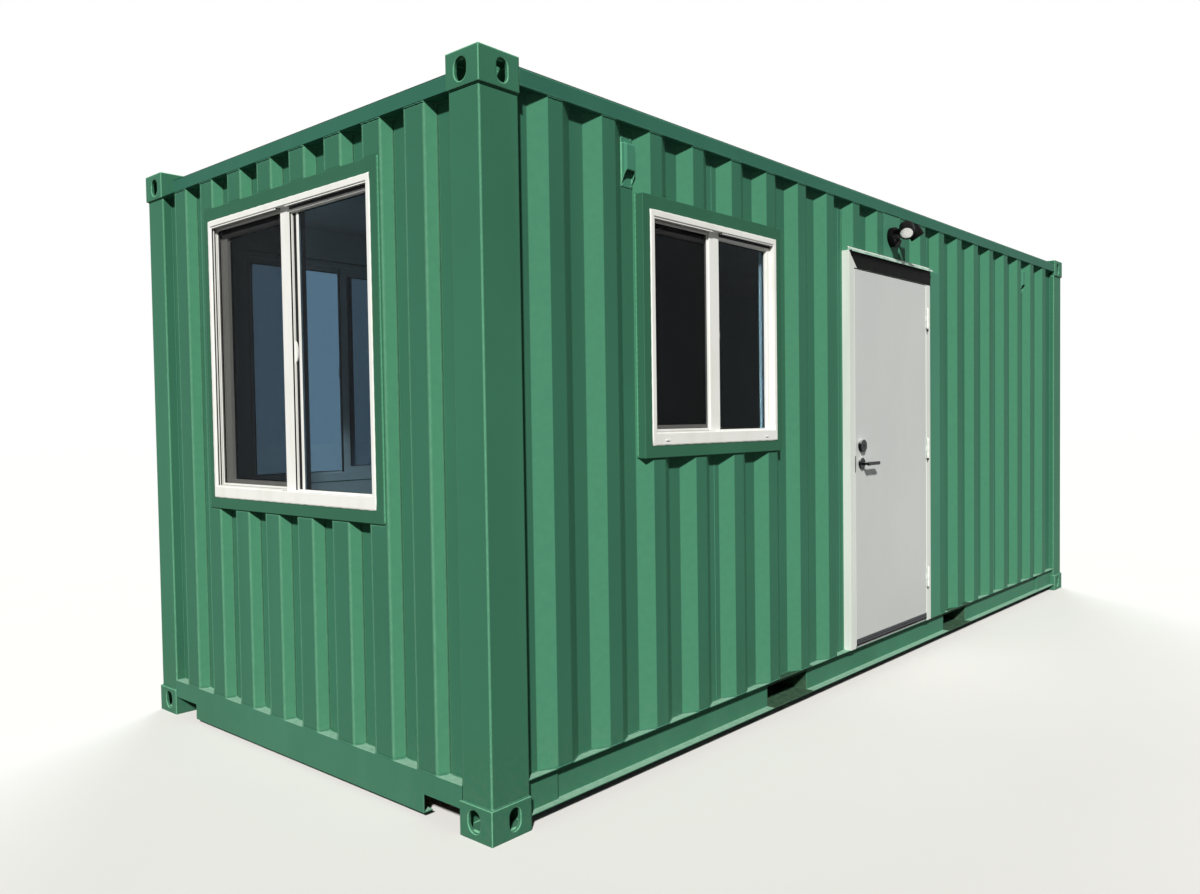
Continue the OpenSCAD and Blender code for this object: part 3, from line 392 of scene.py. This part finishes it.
end_beads = bmesh.new()
recess_x, face_x = 2.977, 3.023
recess_pitch, recess_half, mouth_half = 0.25, 0.052, 0.070
end_half, end_foot, end_top = 1.061, 0.168, 2.472
line = [(recess_x, -end_half)]
for j in range(-4, 5):
    c = recess_pitch * j
    if j > -4:
        line += [(face_x, c - mouth_half), (recess_x, c - recess_half)]
    if j < 4:
        line += [(recess_x, c + recess_half), (face_x, c + mouth_half)]
line.append((recess_x, end_half))
for end in (-1, 1):
    for z in (end_foot + into_corner, end_top - into_corner):
        run_bead(end_beads, [(end * (x + 0.001), y, z) for x, y in line], 0.0026, 0.016)
    for sign in (-1, 1):
        x, y = end * (recess_x + 0.0015), sign * (end_half - 0.001)
        run_bead(end_beads, [(x, y, end_foot), (x, y, end_top)], 0.0026, 0.014)
mesh_piece("end_sheet_beads", end_beads, shell_green, "shell")


# Roof: one pressed sheet with low cross ridges, painted green and dulled by
# weather, with dust lying between the ridges.
roof_green = green_paint("roof_green", body=(63, 114, 91), pale=(86, 134, 112),
                         deep=(55, 104, 81), soil=0.0, bend_highlight=0.2)
dress("roof_panel", roof_green, 0.0015)


# Underframe: C-section members and fork tunnels in the same paint, set darker
# and duller than the walls, and dustier.
under_green = green_paint("under_green", body=(50, 86, 67), pale=(66, 98, 79),
                          deep=(42, 72, 56), soil=1.6, bend_highlight=0.1)
dress("floor_crossmembers", under_green, 0.001)
dress("forklift_pockets", under_green, 0.001)


# Floor: hardwood plywood boards, 28 mm thick, screwed to the members. The
# boards run along the room, and their joints show as dark lines.
plank = Finish("floor_plywood", Coat_Weight=0.2, Coat_Roughness=0.3)
veins = plank.noise(9.0, 6, (0.35, 6, 1), 0.65)
board_joint = plank.joints("Y", 1.2, 0.3, 0.0022)
wood = plank.mix(plank.even(veins), shade(104, 70, 44), shade(150, 108, 72))
plank.feed("Base Color", plank.mix(board_joint * 0.8, wood, shade(38, 28, 20)))
plank.feed("Roughness", 0.42 + plank.even(veins) * 0.2)
plank.bump(0.001, veins * 0.35, board_joint * -1.2)
dress("floor_deck", plank.material)


# Lining and ceiling: insulated panels with a smooth white face, 1.2 m wide,
# set against the sheets and up to the window reveals.
panel = Finish("lining_panel_face")
faint = panel.even(panel.noise(3.0, 3))
panel.feed("Base Color", panel.mix(faint, shade(216, 217, 212), shade(228, 229, 225)))
panel.feed("Roughness", 0.5 + panel.noise(30.0, 2) * 0.12)
panel.bump(0.001, panel.noise(140.0, 2) * 0.15, panel.joints("X", 6.0, 1.2, 0.0025) * -1.5)
for node in ("lining_door_side_left", "lining_over_door", "lining_door_side_right", "lining_back",
             "lining_front", "lining_rear", "ceiling_panel"):
    dress(node, panel.material)


# Window surrounds: folded steel trays round each opening, painted green. A
# weld bead runs down their upright edges, where they meet the sheet, painted
# paler as a painted highlight on its lumps.
surround_green = green_paint("surround_green", body=(56, 105, 82), pale=(63, 114, 90),
                             deep=(51, 98, 76))
for node in ("front_window_surround", "side_window_surround", "back_window_surround"):
    dress(node, surround_green, 0.0015)
# The bead's paler colour is a painted highlight.
bead_highlight_green = green_paint("bead_highlight_green", body=(92, 158, 124), pale=(120, 186, 152),
                         deep=(70, 134, 102), bend_highlight=0.0)
tray_beads = bmesh.new()
large_tray, small_tray = (1.024, 2.342), (1.240, 2.255)
for x, y, (z0, z1) in ((-3.0245, -0.6645, large_tray), (-3.0245, 0.6445, large_tray),
                       (-2.2165, -1.1815, small_tray), (-1.2145, -1.1950, small_tray),
                       (-1.3025, 1.2125, large_tray), (-2.6115, 1.2100, large_tray)):
    run_bead(tray_beads, [(x, y, z0), (x, y, z1)], 0.0034, 0.011)
mesh_piece("surround_weld_beads", tray_beads, bead_highlight_green, "shell")


# Sliding windows: white vinyl frames with tinted panes. The right sash is
# fixed in the outer track, the left one slides behind it and has an insect
# screen before it. Black gaskets hold the panes, and sealant runs round. Dark
# pile strips in the tracks and over the sashes are partly seals and partly
# painted shade.
vinyl = Finish("white_vinyl", Coat_Weight=0.15, Coat_Roughness=0.2, IOR=1.5)
streaks = vinyl.fade(vinyl.noise(12.0, 3, (1, 1, 0.3)), 0.45, 0.8)
vinyl.feed("Base Color", vinyl.mix(streaks, shade(229, 231, 228), shade(218, 220, 213)))
vinyl.feed("Roughness", 0.32 + vinyl.noise(60.0, 2) * 0.1)
vinyl.bump(0.0004, vinyl.noise(300.0, 2) * 0.2)
for node in ("front_window_frame", "side_window_frame", "back_window_frame", "window_sashes"):
    dress(node, vinyl.material, 0.002, 3)
gasket = Finish("black_gasket", Specular_IOR_Level=0.15)
gasket.feed("Base Color", gasket.mix(gasket.noise(80.0, 2), shade(13, 13, 14), shade(23, 23, 25)))
gasket.feed("Roughness", 0.55 + gasket.noise(200.0, 2) * 0.2)
glass = Finish("window_pane", Transmission_Weight=1.0, IOR=1.1, Base_Color=(0.27, 0.38, 0.46, 1.0))
glass.feed("Roughness", 0.012 + glass.fade(glass.noise(4.0, 4), 0.5, 0.8) * 0.03)
# The lamps' light passes straight through the panes, into the room.
clear = glass.node("ShaderNodeBsdfTransparent", {}, {"Color": (0.78, 0.84, 0.86, 1.0)})
passing = glass.node("ShaderNodeLightPath", {}, {}, "Is Shadow Ray")
tinted = Value(glass, glass.shader.outputs["BSDF"])
pane = glass.node("ShaderNodeMixShader", {}, {0: passing, 1: tinted, 2: clear})
glass.tree.links.new(pane.socket, glass.tree.nodes["Material Output"].inputs["Surface"])
dress("window_glass", glass.material)
screen = Finish("screen_mesh", Specular_IOR_Level=0.1, Roughness=0.7)
wires = screen.node("ShaderNodeTexWave", {"bands_direction": "Z"}, {
    "Vector": screen.place(), "Scale": 210.0})
weave = screen.even(screen.noise(160.0, 2) * 0.5 + wires * 0.5)
screen.feed("Base Color", screen.mix(weave, shade(5, 6, 7), shade(15, 16, 17)))
screen.feed("Alpha", 0.32 + weave * 0.16)


def block(work, lo, hi, turn_to=None, blunt=0.0):
    # A bar between two corners, with blunt edges, set in place by a matrix.
    made = bmesh.ops.create_cube(work, size=1.0)["verts"]
    centre = (Vector(lo) + Vector(hi)) / 2
    size = Vector(hi) - Vector(lo)
    for vert in made:
        vert.co = vert.co * size + centre
    if blunt:
        edges = {edge for vert in made for edge in vert.link_edges}
        rounded = bmesh.ops.bevel(work, geom=list(edges), offset=blunt, segments=2, profile=0.5,
                                  affect="EDGES")["verts"]
        made = rounded + [vert for vert in made if vert.is_valid]
    if turn_to:
        for vert in set(made):
            vert.co = turn_to @ vert.co


def ring_of_bars(work, x0, x1, z0, z1, y0, y1, width, turn_to, blunt=0.0):
    # Four bars round an opening, in a window's own frame.
    block(work, (x0, y0, z0), (x1, y1, z0 + width), turn_to, blunt)
    block(work, (x0, y0, z1 - width), (x1, y1, z1), turn_to, blunt)
    block(work, (x0, y0, z0 + width), (x0 + width, y1, z1 - width), turn_to, blunt)
    block(work, (x1 - width, y0, z0 + width), (x1, y1, z1 - width), turn_to, blunt)


# Each window in its own frame: x to the right as seen from outside, y the depth
# behind the surround's face, z up from the frame's foot.
half_len, half_wid = 3.029, 1.219
large_foot, small_foot = 1.072, 1.288
windows = {
    "front": (Matrix.Translation((-half_len, -0.010, large_foot))
              @ Matrix.Rotation(math.radians(-90), 4, "Z"), 1.216, 1.216),
    "side": (Matrix.Translation((-1.7155, -half_wid, small_foot)), 0.909, 0.913),
    "back": (Matrix.Translation((-1.957, half_wid, large_foot))
             @ Matrix.Rotation(math.radians(180), 4, "Z"), 1.216, 1.216),
}
jamb, head, sill = 0.0193, 0.0243, 0.0463
stile = -0.039
gasket_lip, gasket_deep = 0.0045, 0.0016
rib, proud, tall_rib, low_rib = 0.002, 0.0005, 0.007, 0.006
latch_root, latch_x, latch_half = 0.0305, 0.034, 0.045
latch_out, latch_round = 0.016, 0.042
for name, (put, wide, tall) in windows.items():
    half = wide / 2
    left, right, top = -half + jamb, half - jamb, tall - head
    # The panes as they show between their sashes: x0, x1, z0, z1. The fixed
    # sash lies 20 to 46 mm deep, the sliding sash 49 to 75 mm.
    fixed = (0.0313, right - 0.0242, sill + 0.0052, top - 0.0262)
    slide = (left + 0.0455, 0.0108, sill + 0.0313, top - 0.0455)
    seals_and_shade_strips = bmesh.new()
    for opening, deep in ((fixed, 0.0362), (fixed, 0.0432), (slide, 0.0652), (slide, 0.0722)):
        ring_of_bars(seals_and_shade_strips, *opening, deep, deep + gasket_deep, gasket_lip, put)
    # pile strips, partly seals and partly painted shade: up the interlock, over both sashes as a
    # painted shadow of the head, and between the ribs
    block(seals_and_shade_strips, (0.0315, 0.0464, sill), (0.0420, 0.0486, top), put)
    block(seals_and_shade_strips, (left, 0.0468, top - 0.031), (stile, 0.0486, top), put)
    block(seals_and_shade_strips, (0.032, 0.0184, top - 0.016), (right, 0.0198, top), put)
    for y in (0.0025, 0.0135, 0.0245, 0.0365):
        block(seals_and_shade_strips, (left, y, top - 0.0035), (stile, y + 0.008, top + 0.0003), put)
        block(seals_and_shade_strips, (left, y + 0.0015, sill - 0.0003), (stile, y + 0.0065, sill + 0.0015), put)
        block(seals_and_shade_strips, (left - 0.0003, y + 0.0015, sill + low_rib),
              (left + 0.002, y + 0.0065, top - tall_rib), put)
    # dark strips as painted shade: on the side of the sliding stile, on the side
    # of the fixed one, and between the ribs over the fixed sash
    block(seals_and_shade_strips, (0.0556, 0.0555, sill + 0.002), (0.0568, 0.0748, top - 0.002), put)
    block(seals_and_shade_strips, (0.0306, 0.0205, sill), (0.0322, 0.0262, top), put)
    block(seals_and_shade_strips, (0.032, 0.0025, top - 0.003), (right, 0.0095, top + 0.0003), put)
    if name == "front":
        # a broad dark gasket, partly painted shade, between the stile and the bead of the end
        # window's pane
        block(seals_and_shade_strips, (0.0350, 0.0364, fixed[2]), (0.0560, 0.0378, fixed[3]), put)
    weeps = (-half + 0.09, half - 0.09) if name == "side" else ()
    for x in weeps:
        block(seals_and_shade_strips, (x - 0.009, -0.0045, 0.0125), (x + 0.009, -0.0035, 0.0155), put)
    mesh_piece(name + "_window_gaskets_and_shade_strips", seals_and_shade_strips, gasket.material, "shell", False)

    plastic = bmesh.new()
    for y in (0.0, 0.011, 0.022, 0.034, 0.045):
        # ribs of the empty outer track: over and under, and up the jamb
        block(plastic, (left - proud, y, top - tall_rib), (stile, y + rib, top + proud), put)
        block(plastic, (left - proud, y, sill - proud), (stile, y + rib, sill + low_rib), put)
        block(plastic, (left - proud, y, sill + low_rib),
              (left + tall_rib, y + rib, top - tall_rib), put)
    for y in (0.0, 0.010):
        # ribs over the fixed sash
        block(plastic, (0.031, y, top - low_rib), (right, y + rib, top + proud), put)
    # the bead that holds the fixed pane, with a broad upright in the end window
    ring_of_bars(plastic, fixed[0] - proud, fixed[1] + proud, fixed[2] - proud, fixed[3] + proud,
                 0.0265, 0.0362, 0.0035, put, 0.0008)
    if name == "front":
        block(plastic, (0.0560, 0.0345, fixed[2] + 0.001), (0.0725, 0.0378, fixed[3] - 0.004),
              put, 0.001)
    for x in weeps:
        # weep covers on the sill
        block(plastic, (x - 0.014, -0.0062, 0.0155), (x + 0.014, -0.0038, 0.0215), put, 0.0008)
    # the thumb latch of the sliding sash, at the stile
    latch = [(latch_root, -latch_half), (latch_x, -latch_half)]
    latch += [(latch_x + latch_out * math.cos(t), latch_round * math.sin(t))
              for t in (math.radians(a) for a in range(-75, 76, 15))]
    latch += [(latch_x, latch_half), (latch_root, latch_half)]
    skin(plastic, [[plastic.verts.new(put @ Vector((x, y, tall / 2 + z))) for x, z in latch]
                   for y in (0.0315, 0.0370)])
    # the insect screen's thin frame
    ring_of_bars(plastic, left + proud, stile - proud, sill + 0.0065, top - 0.0075,
                 0.0265, 0.0325, 0.009, put, 0.001)
    mesh_piece(name + "_window_tracks", plastic, vinyl.material, "shell", False)

    wire = bmesh.new()
    block(wire, (left + 0.009, 0.0292, sill + 0.015), (-0.048, 0.0296, top - 0.016), put)
    mesh_piece(name + "_window_screen", wire, screen.material, "shell", False)

    sealant = bmesh.new()
    edge = half + 0.0005
    corners = ((-edge, 0.0), (edge, 0.0), (edge, tall), (-edge, tall), (-edge, 0.0))
    run_bead(sealant, [put @ Vector((x, -0.0005, z)) for x, z in corners], 0.0022, 0.03)
    mesh_piece(name + "_window_sealant", sealant, vinyl.material, "shell")


# Door frame: pressed steel, painted off-white, with a square rebate, set in
# the opening on the bottom rail. A black seal runs round the rebate.
frame_white = Finish("door_frame_paint", Coat_Weight=0.1, Coat_Roughness=0.3)
smear = frame_white.fade(frame_white.noise(6.0, 4, (1, 1, 0.15)), 0.5, 0.8)
frame_white.feed("Base Color", frame_white.mix(smear, shade(212, 219, 213), shade(200, 208, 201)))
frame_white.feed("Roughness", 0.4 + frame_white.noise(50.0, 2) * 0.14)
frame_white.bump(0.0005, frame_white.noise(240.0, 2) * 0.3)
dress("door_frame", frame_white.material, 0.0012)
seal = bmesh.new()
seal_left, seal_right = -0.4865, 0.4035
seal_y0, seal_y1 = -1.1725, -1.1675
block(seal, (seal_left - 0.006, seal_y0, 0.185), (seal_left, seal_y1, 2.158))
block(seal, (seal_right, seal_y0, 0.185), (seal_right + 0.006, seal_y1, 2.158))
block(seal, (seal_left, seal_y0, 2.1545), (seal_right, seal_y1, 2.161))
mesh_piece("door_seal", seal, gasket.material, "shell", False)


# Threshold: a ribbed aluminium plate between the jambs, laid on the bottom
# rail and left bare.
bare = Finish("mill_aluminium", Metallic=1.0)
drawn = bare.noise(30.0, 3, (0.2, 4, 1))
bare.feed("Base Color", bare.mix(drawn, shade(150, 151, 152), shade(182, 183, 184)))
bare.feed("Roughness", 0.38 + bare.noise(70.0, 2, (0.2, 4, 1)) * 0.2)
bare.bump(0.0006, bare.noise(120.0, 2, (0.1, 6, 1)) * 0.5)
dress("door_threshold", bare.material, 0.001)


# Door leaf: two steel skins in pale grey satin paint over a core. A dark
# rubber sweep with two worn lips hangs from an aluminium holder at its foot.
leaf_grey = Finish("door_leaf_paint", Coat_Weight=0.08, Coat_Roughness=0.35)
wipe = leaf_grey.fade(leaf_grey.noise(2.5, 5, (1, 1, 0.4)), 0.4, 0.75)
near_foot = (1 - leaf_grey.fade(leaf_grey.part("Z", leaf_grey.where()), 0.2, 0.7)) ** 2.0
tint = leaf_grey.mix(wipe, shade(189, 194, 193), shade(197, 201, 200))
leaf_grey.feed("Base Color", leaf_grey.mix(near_foot * 0.35 * wipe, tint, shade(150, 146, 134)))
leaf_grey.feed("Roughness", 0.42 + wipe * 0.08 + leaf_grey.noise(90.0, 2) * 0.08)
leaf_grey.bump(0.0006, leaf_grey.noise(320.0, 2) * 0.25, leaf_grey.noise(3.0, 2) * 1.2)
dress("door_leaf", leaf_grey.material, 0.0015)
leaf_x0, leaf_x1 = -0.483, 0.403
sweep_foot, sweep_top, sweep_back = 0.186, 0.2185, -1.2171
sweep = bmesh.new()
block(sweep, (leaf_x0, -1.2195, sweep_foot), (leaf_x1, sweep_back, sweep_top), None, 0.001)
block(sweep, (leaf_x0, -1.2215, sweep_foot), (leaf_x1, -1.2165, sweep_foot + 0.004), None, 0.0008)
mesh_piece("door_sweep", sweep, gasket.material, "door", False)
worn = Finish("worn_rubber", Specular_IOR_Level=0.2)
scraped = worn.noise(60.0, 3, (0.2, 1, 1))
worn.feed("Base Color", worn.mix(scraped, shade(52, 53, 58), shade(74, 75, 81)))
worn.feed("Roughness", 0.5 + worn.noise(150.0, 2) * 0.2)
lips = bmesh.new()
lip_x0, lip_x1 = leaf_x0 + 0.0005, leaf_x1 - 0.0005
for z in (0.1935, 0.2065):
    block(lips, (lip_x0, -1.2207, z), (lip_x1, -1.2190, z + 0.0085), None, 0.0006)
mesh_piece("sweep_lips", lips, worn.material, "door", False)
holder = bmesh.new()
block(holder, (leaf_x0, -1.2205, sweep_top), (leaf_x1, sweep_back, sweep_top + 0.003),
      None, 0.0008)
mesh_piece("sweep_holder", holder, bare.material, "door", False)


# Dark plate and drip cap over the door: a near-black sheet on the head under a
# pale folded cap that throws the rain clear. White caulk closes the cap against
# the wall.
charcoal = Finish("near_black_head_finish", Specular_IOR_Level=0.04)
faded = charcoal.noise(14.0, 4)
charcoal.feed("Base Color", charcoal.mix(faded, shade(7, 9, 8), shade(16, 18, 17)))
charcoal.feed("Roughness", 0.5 + charcoal.noise(60.0, 2) * 0.2)
charcoal.bump(0.0006, charcoal.noise(180.0, 2) * 0.4)
dress("door_head_plate", charcoal.material, 0.0008)
cap_pale = Finish("cap_paint")
washed = cap_pale.fade(cap_pale.noise(24.0, 3), 0.4, 0.7)
cap_pale.feed("Base Color", cap_pale.mix(washed, shade(186, 214, 200), shade(120, 170, 146)))
cap_pale.feed("Roughness", 0.4 + cap_pale.noise(60.0, 2) * 0.15)
cap_pale.bump(0.0005, cap_pale.noise(160.0, 2) * 0.4)
dress("door_drip_cap", cap_pale.material, 0.0008)
low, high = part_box("door_drip_cap")
caulk = bmesh.new()
run_bead(caulk, [(x, -crest_y - 0.0025, high[2] - 0.001) for x in (low[0], high[0])],
         0.0042, 0.017)
mesh_piece("cap_caulk", caulk, vinyl.material, "shell")


# Hinges, lever and deadbolt: the hinges are painted with the frame and turn on
# pins with dark tips. Lever and deadbolt are polished steel, painted dark as a
# painted reflection of the dark yard, and pale on what looks up as a painted
# reflection of the sky. The strike sits in the jamb, and screws hold the
# closing plate.
steel = Finish("satin_steel", Metallic=1.0)
hair = steel.noise(260.0, 2, (0.15, 0.15, 1.0))
# Painted reflection: dark for the yard around, pale where the steel looks up.
tone = steel.mix(hair, shade(20, 21, 22), shade(40, 41, 43))
painted_sky_glint = steel.fade(steel.part("Z", steel.facing()), 0.35, 0.8)
steel.feed("Base Color", steel.mix(painted_sky_glint, tone, shade(226, 227, 226)))
steel.feed("Roughness", 0.18 + hair * 0.16)
steel.bump(0.0002, hair * 0.5)
dress("door_lock_roses", steel.material, 0.0012, 3)
dress("door_lever", steel.material, 0.003, 3)
for node in ("hinge_pins", "hinge_knuckles"):
    dress(node, frame_white.material, 0.0012, 3)


def turned(work, put, profile, sides=12, foot=True):
    # A turned shape in its place: rings of a radius and a height along its axis.
    skin(work, [[work.verts.new(put @ Vector((r * math.cos(t), r * math.sin(t), h)))
                 for t in (math.tau * j / sides for j in range(sides))] for r, h in profile], foot)


def set_facing(at, outward):
    # The place of a turned shape whose axis points outward from a surface.
    return Matrix.Translation(at) @ Vector(outward).to_track_quat("Z", "Y").to_matrix().to_4x4()


def screw_head(work, at, outward, radius, rise):
    # A domed head with a flat rim, open where it sits on the surface.
    profile = ((radius, 0.0), (radius, rise * 0.35), (radius * 0.75, rise * 0.8),
               (radius * 0.3, rise))
    turned(work, set_facing(at, outward), profile, foot=False)


key = bmesh.new()
block(key, (-0.4245, -1.2362, 1.228), (-0.4215, -1.2345, 1.244))
mesh_piece("deadbolt_keyway", key, gasket.material, "door", False)
strike = bmesh.new()
block(strike, (-0.4908, -1.2193, 1.100), (-0.4858, -1.2120, 1.184))
hinge_x, hinge_y, pin_half = 0.4075, -1.229, 0.058
hinge_heights = (0.435, 1.1935, 1.952)
for z in hinge_heights:
    turned(strike, Matrix.Translation((hinge_x, hinge_y, z - pin_half)),
           ((0.0055, 0.004), (0.0055, -0.006), (0.003, -0.0075)))
mesh_piece("strike_and_pin_tips", strike, gasket.material, "shell", False)
plates = bmesh.new()
screw_x, screw_heights = 0.482, (0.6, 1.05, 1.55, 2.139)
for z in screw_heights:
    screw_head(plates, (screw_x, -crest_y, z), (0, -1, 0), 0.0055, 0.003)
mesh_piece("closing_plate_screws", plates, shell_green, "shell")


# Twin floodlight: black moulded heads with clear round lenses, on short arms
# from a round canopy, and a sensor that looks down over the step.
black = Finish("lamp_housing", Specular_IOR_Level=0.05)
black.feed("Base Color", black.mix(black.noise(40.0, 3), shade(7, 7, 8), shade(15, 15, 17)))
black.feed("Roughness", 0.38 + black.noise(150.0, 2) * 0.2)
black.bump(0.0004, black.noise(500.0, 2) * 0.4)
dress("floodlight", black.material, 0.0015)
lens = Finish("lamp_lens", Metallic=0.85, Base_Color=(0.92, 0.92, 0.91, 1.0))
lens.feed("Roughness", 0.2 + lens.noise(90.0, 2) * 0.2)
lens.bump(0.0006, lens.noise(120.0, 1) * 0.6)
lens_rings = ((0.0362, -0.0078), (0.0362, -0.0050), (0.031, -0.0032), (0.020, -0.0020),
              (0.008, -0.0015))
lens_y, lens_z = -1.334, 2.373
for name, lens_x, aim in (("left", -0.111, (-0.623, -0.277, -0.731)),
                          ("right", 0.035, (0.367, -0.422, -0.829))):
    dome = bmesh.new()
    turned(dome, set_facing((lens_x, lens_y, lens_z), aim), lens_rings, 40)
    mesh_piece("lamp_lens_" + name, dome, lens.material, "shell")


# Vents: pressed steel covers over holes in the sheet, open at their foot and
# held by rivets through the flange, painted with the wall.
vent_green = green_paint("vent_green", body=(72, 134, 110), pale=(88, 150, 126),
                         deep=(64, 124, 100), bend=0.006, bend_highlight=1.0)
dress("vents", vent_green, 0.003, 3)
rivets = bmesh.new()
vent_places = ((-2.258, -1), (2.190, -1), (2.190, 1))
rivet_heights, rivet_half, flange = (2.281, 2.457), 0.024, 0.002
for x, sign in vent_places:
    for z in rivet_heights:
        for aside in (-rivet_half, rivet_half):
            at = (x + aside, sign * (valley_y + flange), z)
            screw_head(rivets, at, (0, sign, 0), 0.0035, 0.0018)
mesh_piece("vent_rivets", rivets, vent_green, "shell")


# Studio: a pale floor and a white surround for what the camera and the glass
# see. A sun from the window end, high on the left, lights the two near sides,
# and a soft one from the far corner lights the other two.
def seen_by(nodes):
    # 1 for what the camera sees straight on, in a gloss or through glass.
    camera, gloss, through = [nodes.node("ShaderNodeLightPath", {}, {}, "Is %s Ray" % kind)
                              for kind in ("Camera", "Glossy", "Transmission")]
    return camera + gloss + through


ground = Finish("pale_floor", Roughness=0.9)
shown = ground.mix(ground.noise(1.5, 3), (0.81, 0.81, 0.80, 1), (0.835, 0.835, 0.825, 1))
ground.feed("Base Color", ground.mix(seen_by(ground), (0.06, 0.058, 0.054, 1), shown))
floor_work = bmesh.new()
bmesh.ops.create_grid(floor_work, x_segments=1, y_segments=1, size=60)
floor_data = bpy.data.meshes.new("studio_floor")
floor_work.to_mesh(floor_data)
floor_work.free()
floor_data.materials.append(ground.material)
floor_piece = bpy.data.objects.new("studio_floor", floor_data)
bpy.context.scene.collection.objects.link(floor_piece)

world = bpy.data.worlds.new("studio_world")
world.use_nodes = True
bpy.context.scene.world = world
sky = Nodes(world.node_tree)
soft = sky.node("ShaderNodeBackground", {}, {"Color": (0.86, 0.93, 1.0, 1), "Strength": 0.06})
white = sky.node("ShaderNodeBackground", {}, {"Color": (1, 1, 1, 1), "Strength": 1.0})
surround = sky.node("ShaderNodeMixShader", {}, {0: seen_by(sky), 1: soft, 2: white})
sky.tree.links.new(surround.socket, sky.tree.nodes["World Output"].inputs["Surface"])
for name, energy, angle, colour, heading in (
        ("key_light", 5.0, 4, (1.0, 0.97, 0.93), (1.12, 0.88, -1.0)),
        ("back_fill", 2.2, 40, (0.92, 0.96, 1.0), (-1.1, -0.9, -0.6))):
    lamp = bpy.data.lights.new(name, "SUN")
    lamp.energy = energy
    lamp.angle = math.radians(angle)
    lamp.color = colour
    lamp_object = bpy.data.objects.new(name, lamp)
    lamp_object.visible_transmission = False
    lamp_object.visible_glossy = name == "key_light"
    lamp_object.rotation_euler = Vector(heading).to_track_quat("-Z", "Y").to_euler()
    bpy.context.scene.collection.objects.link(lamp_object)
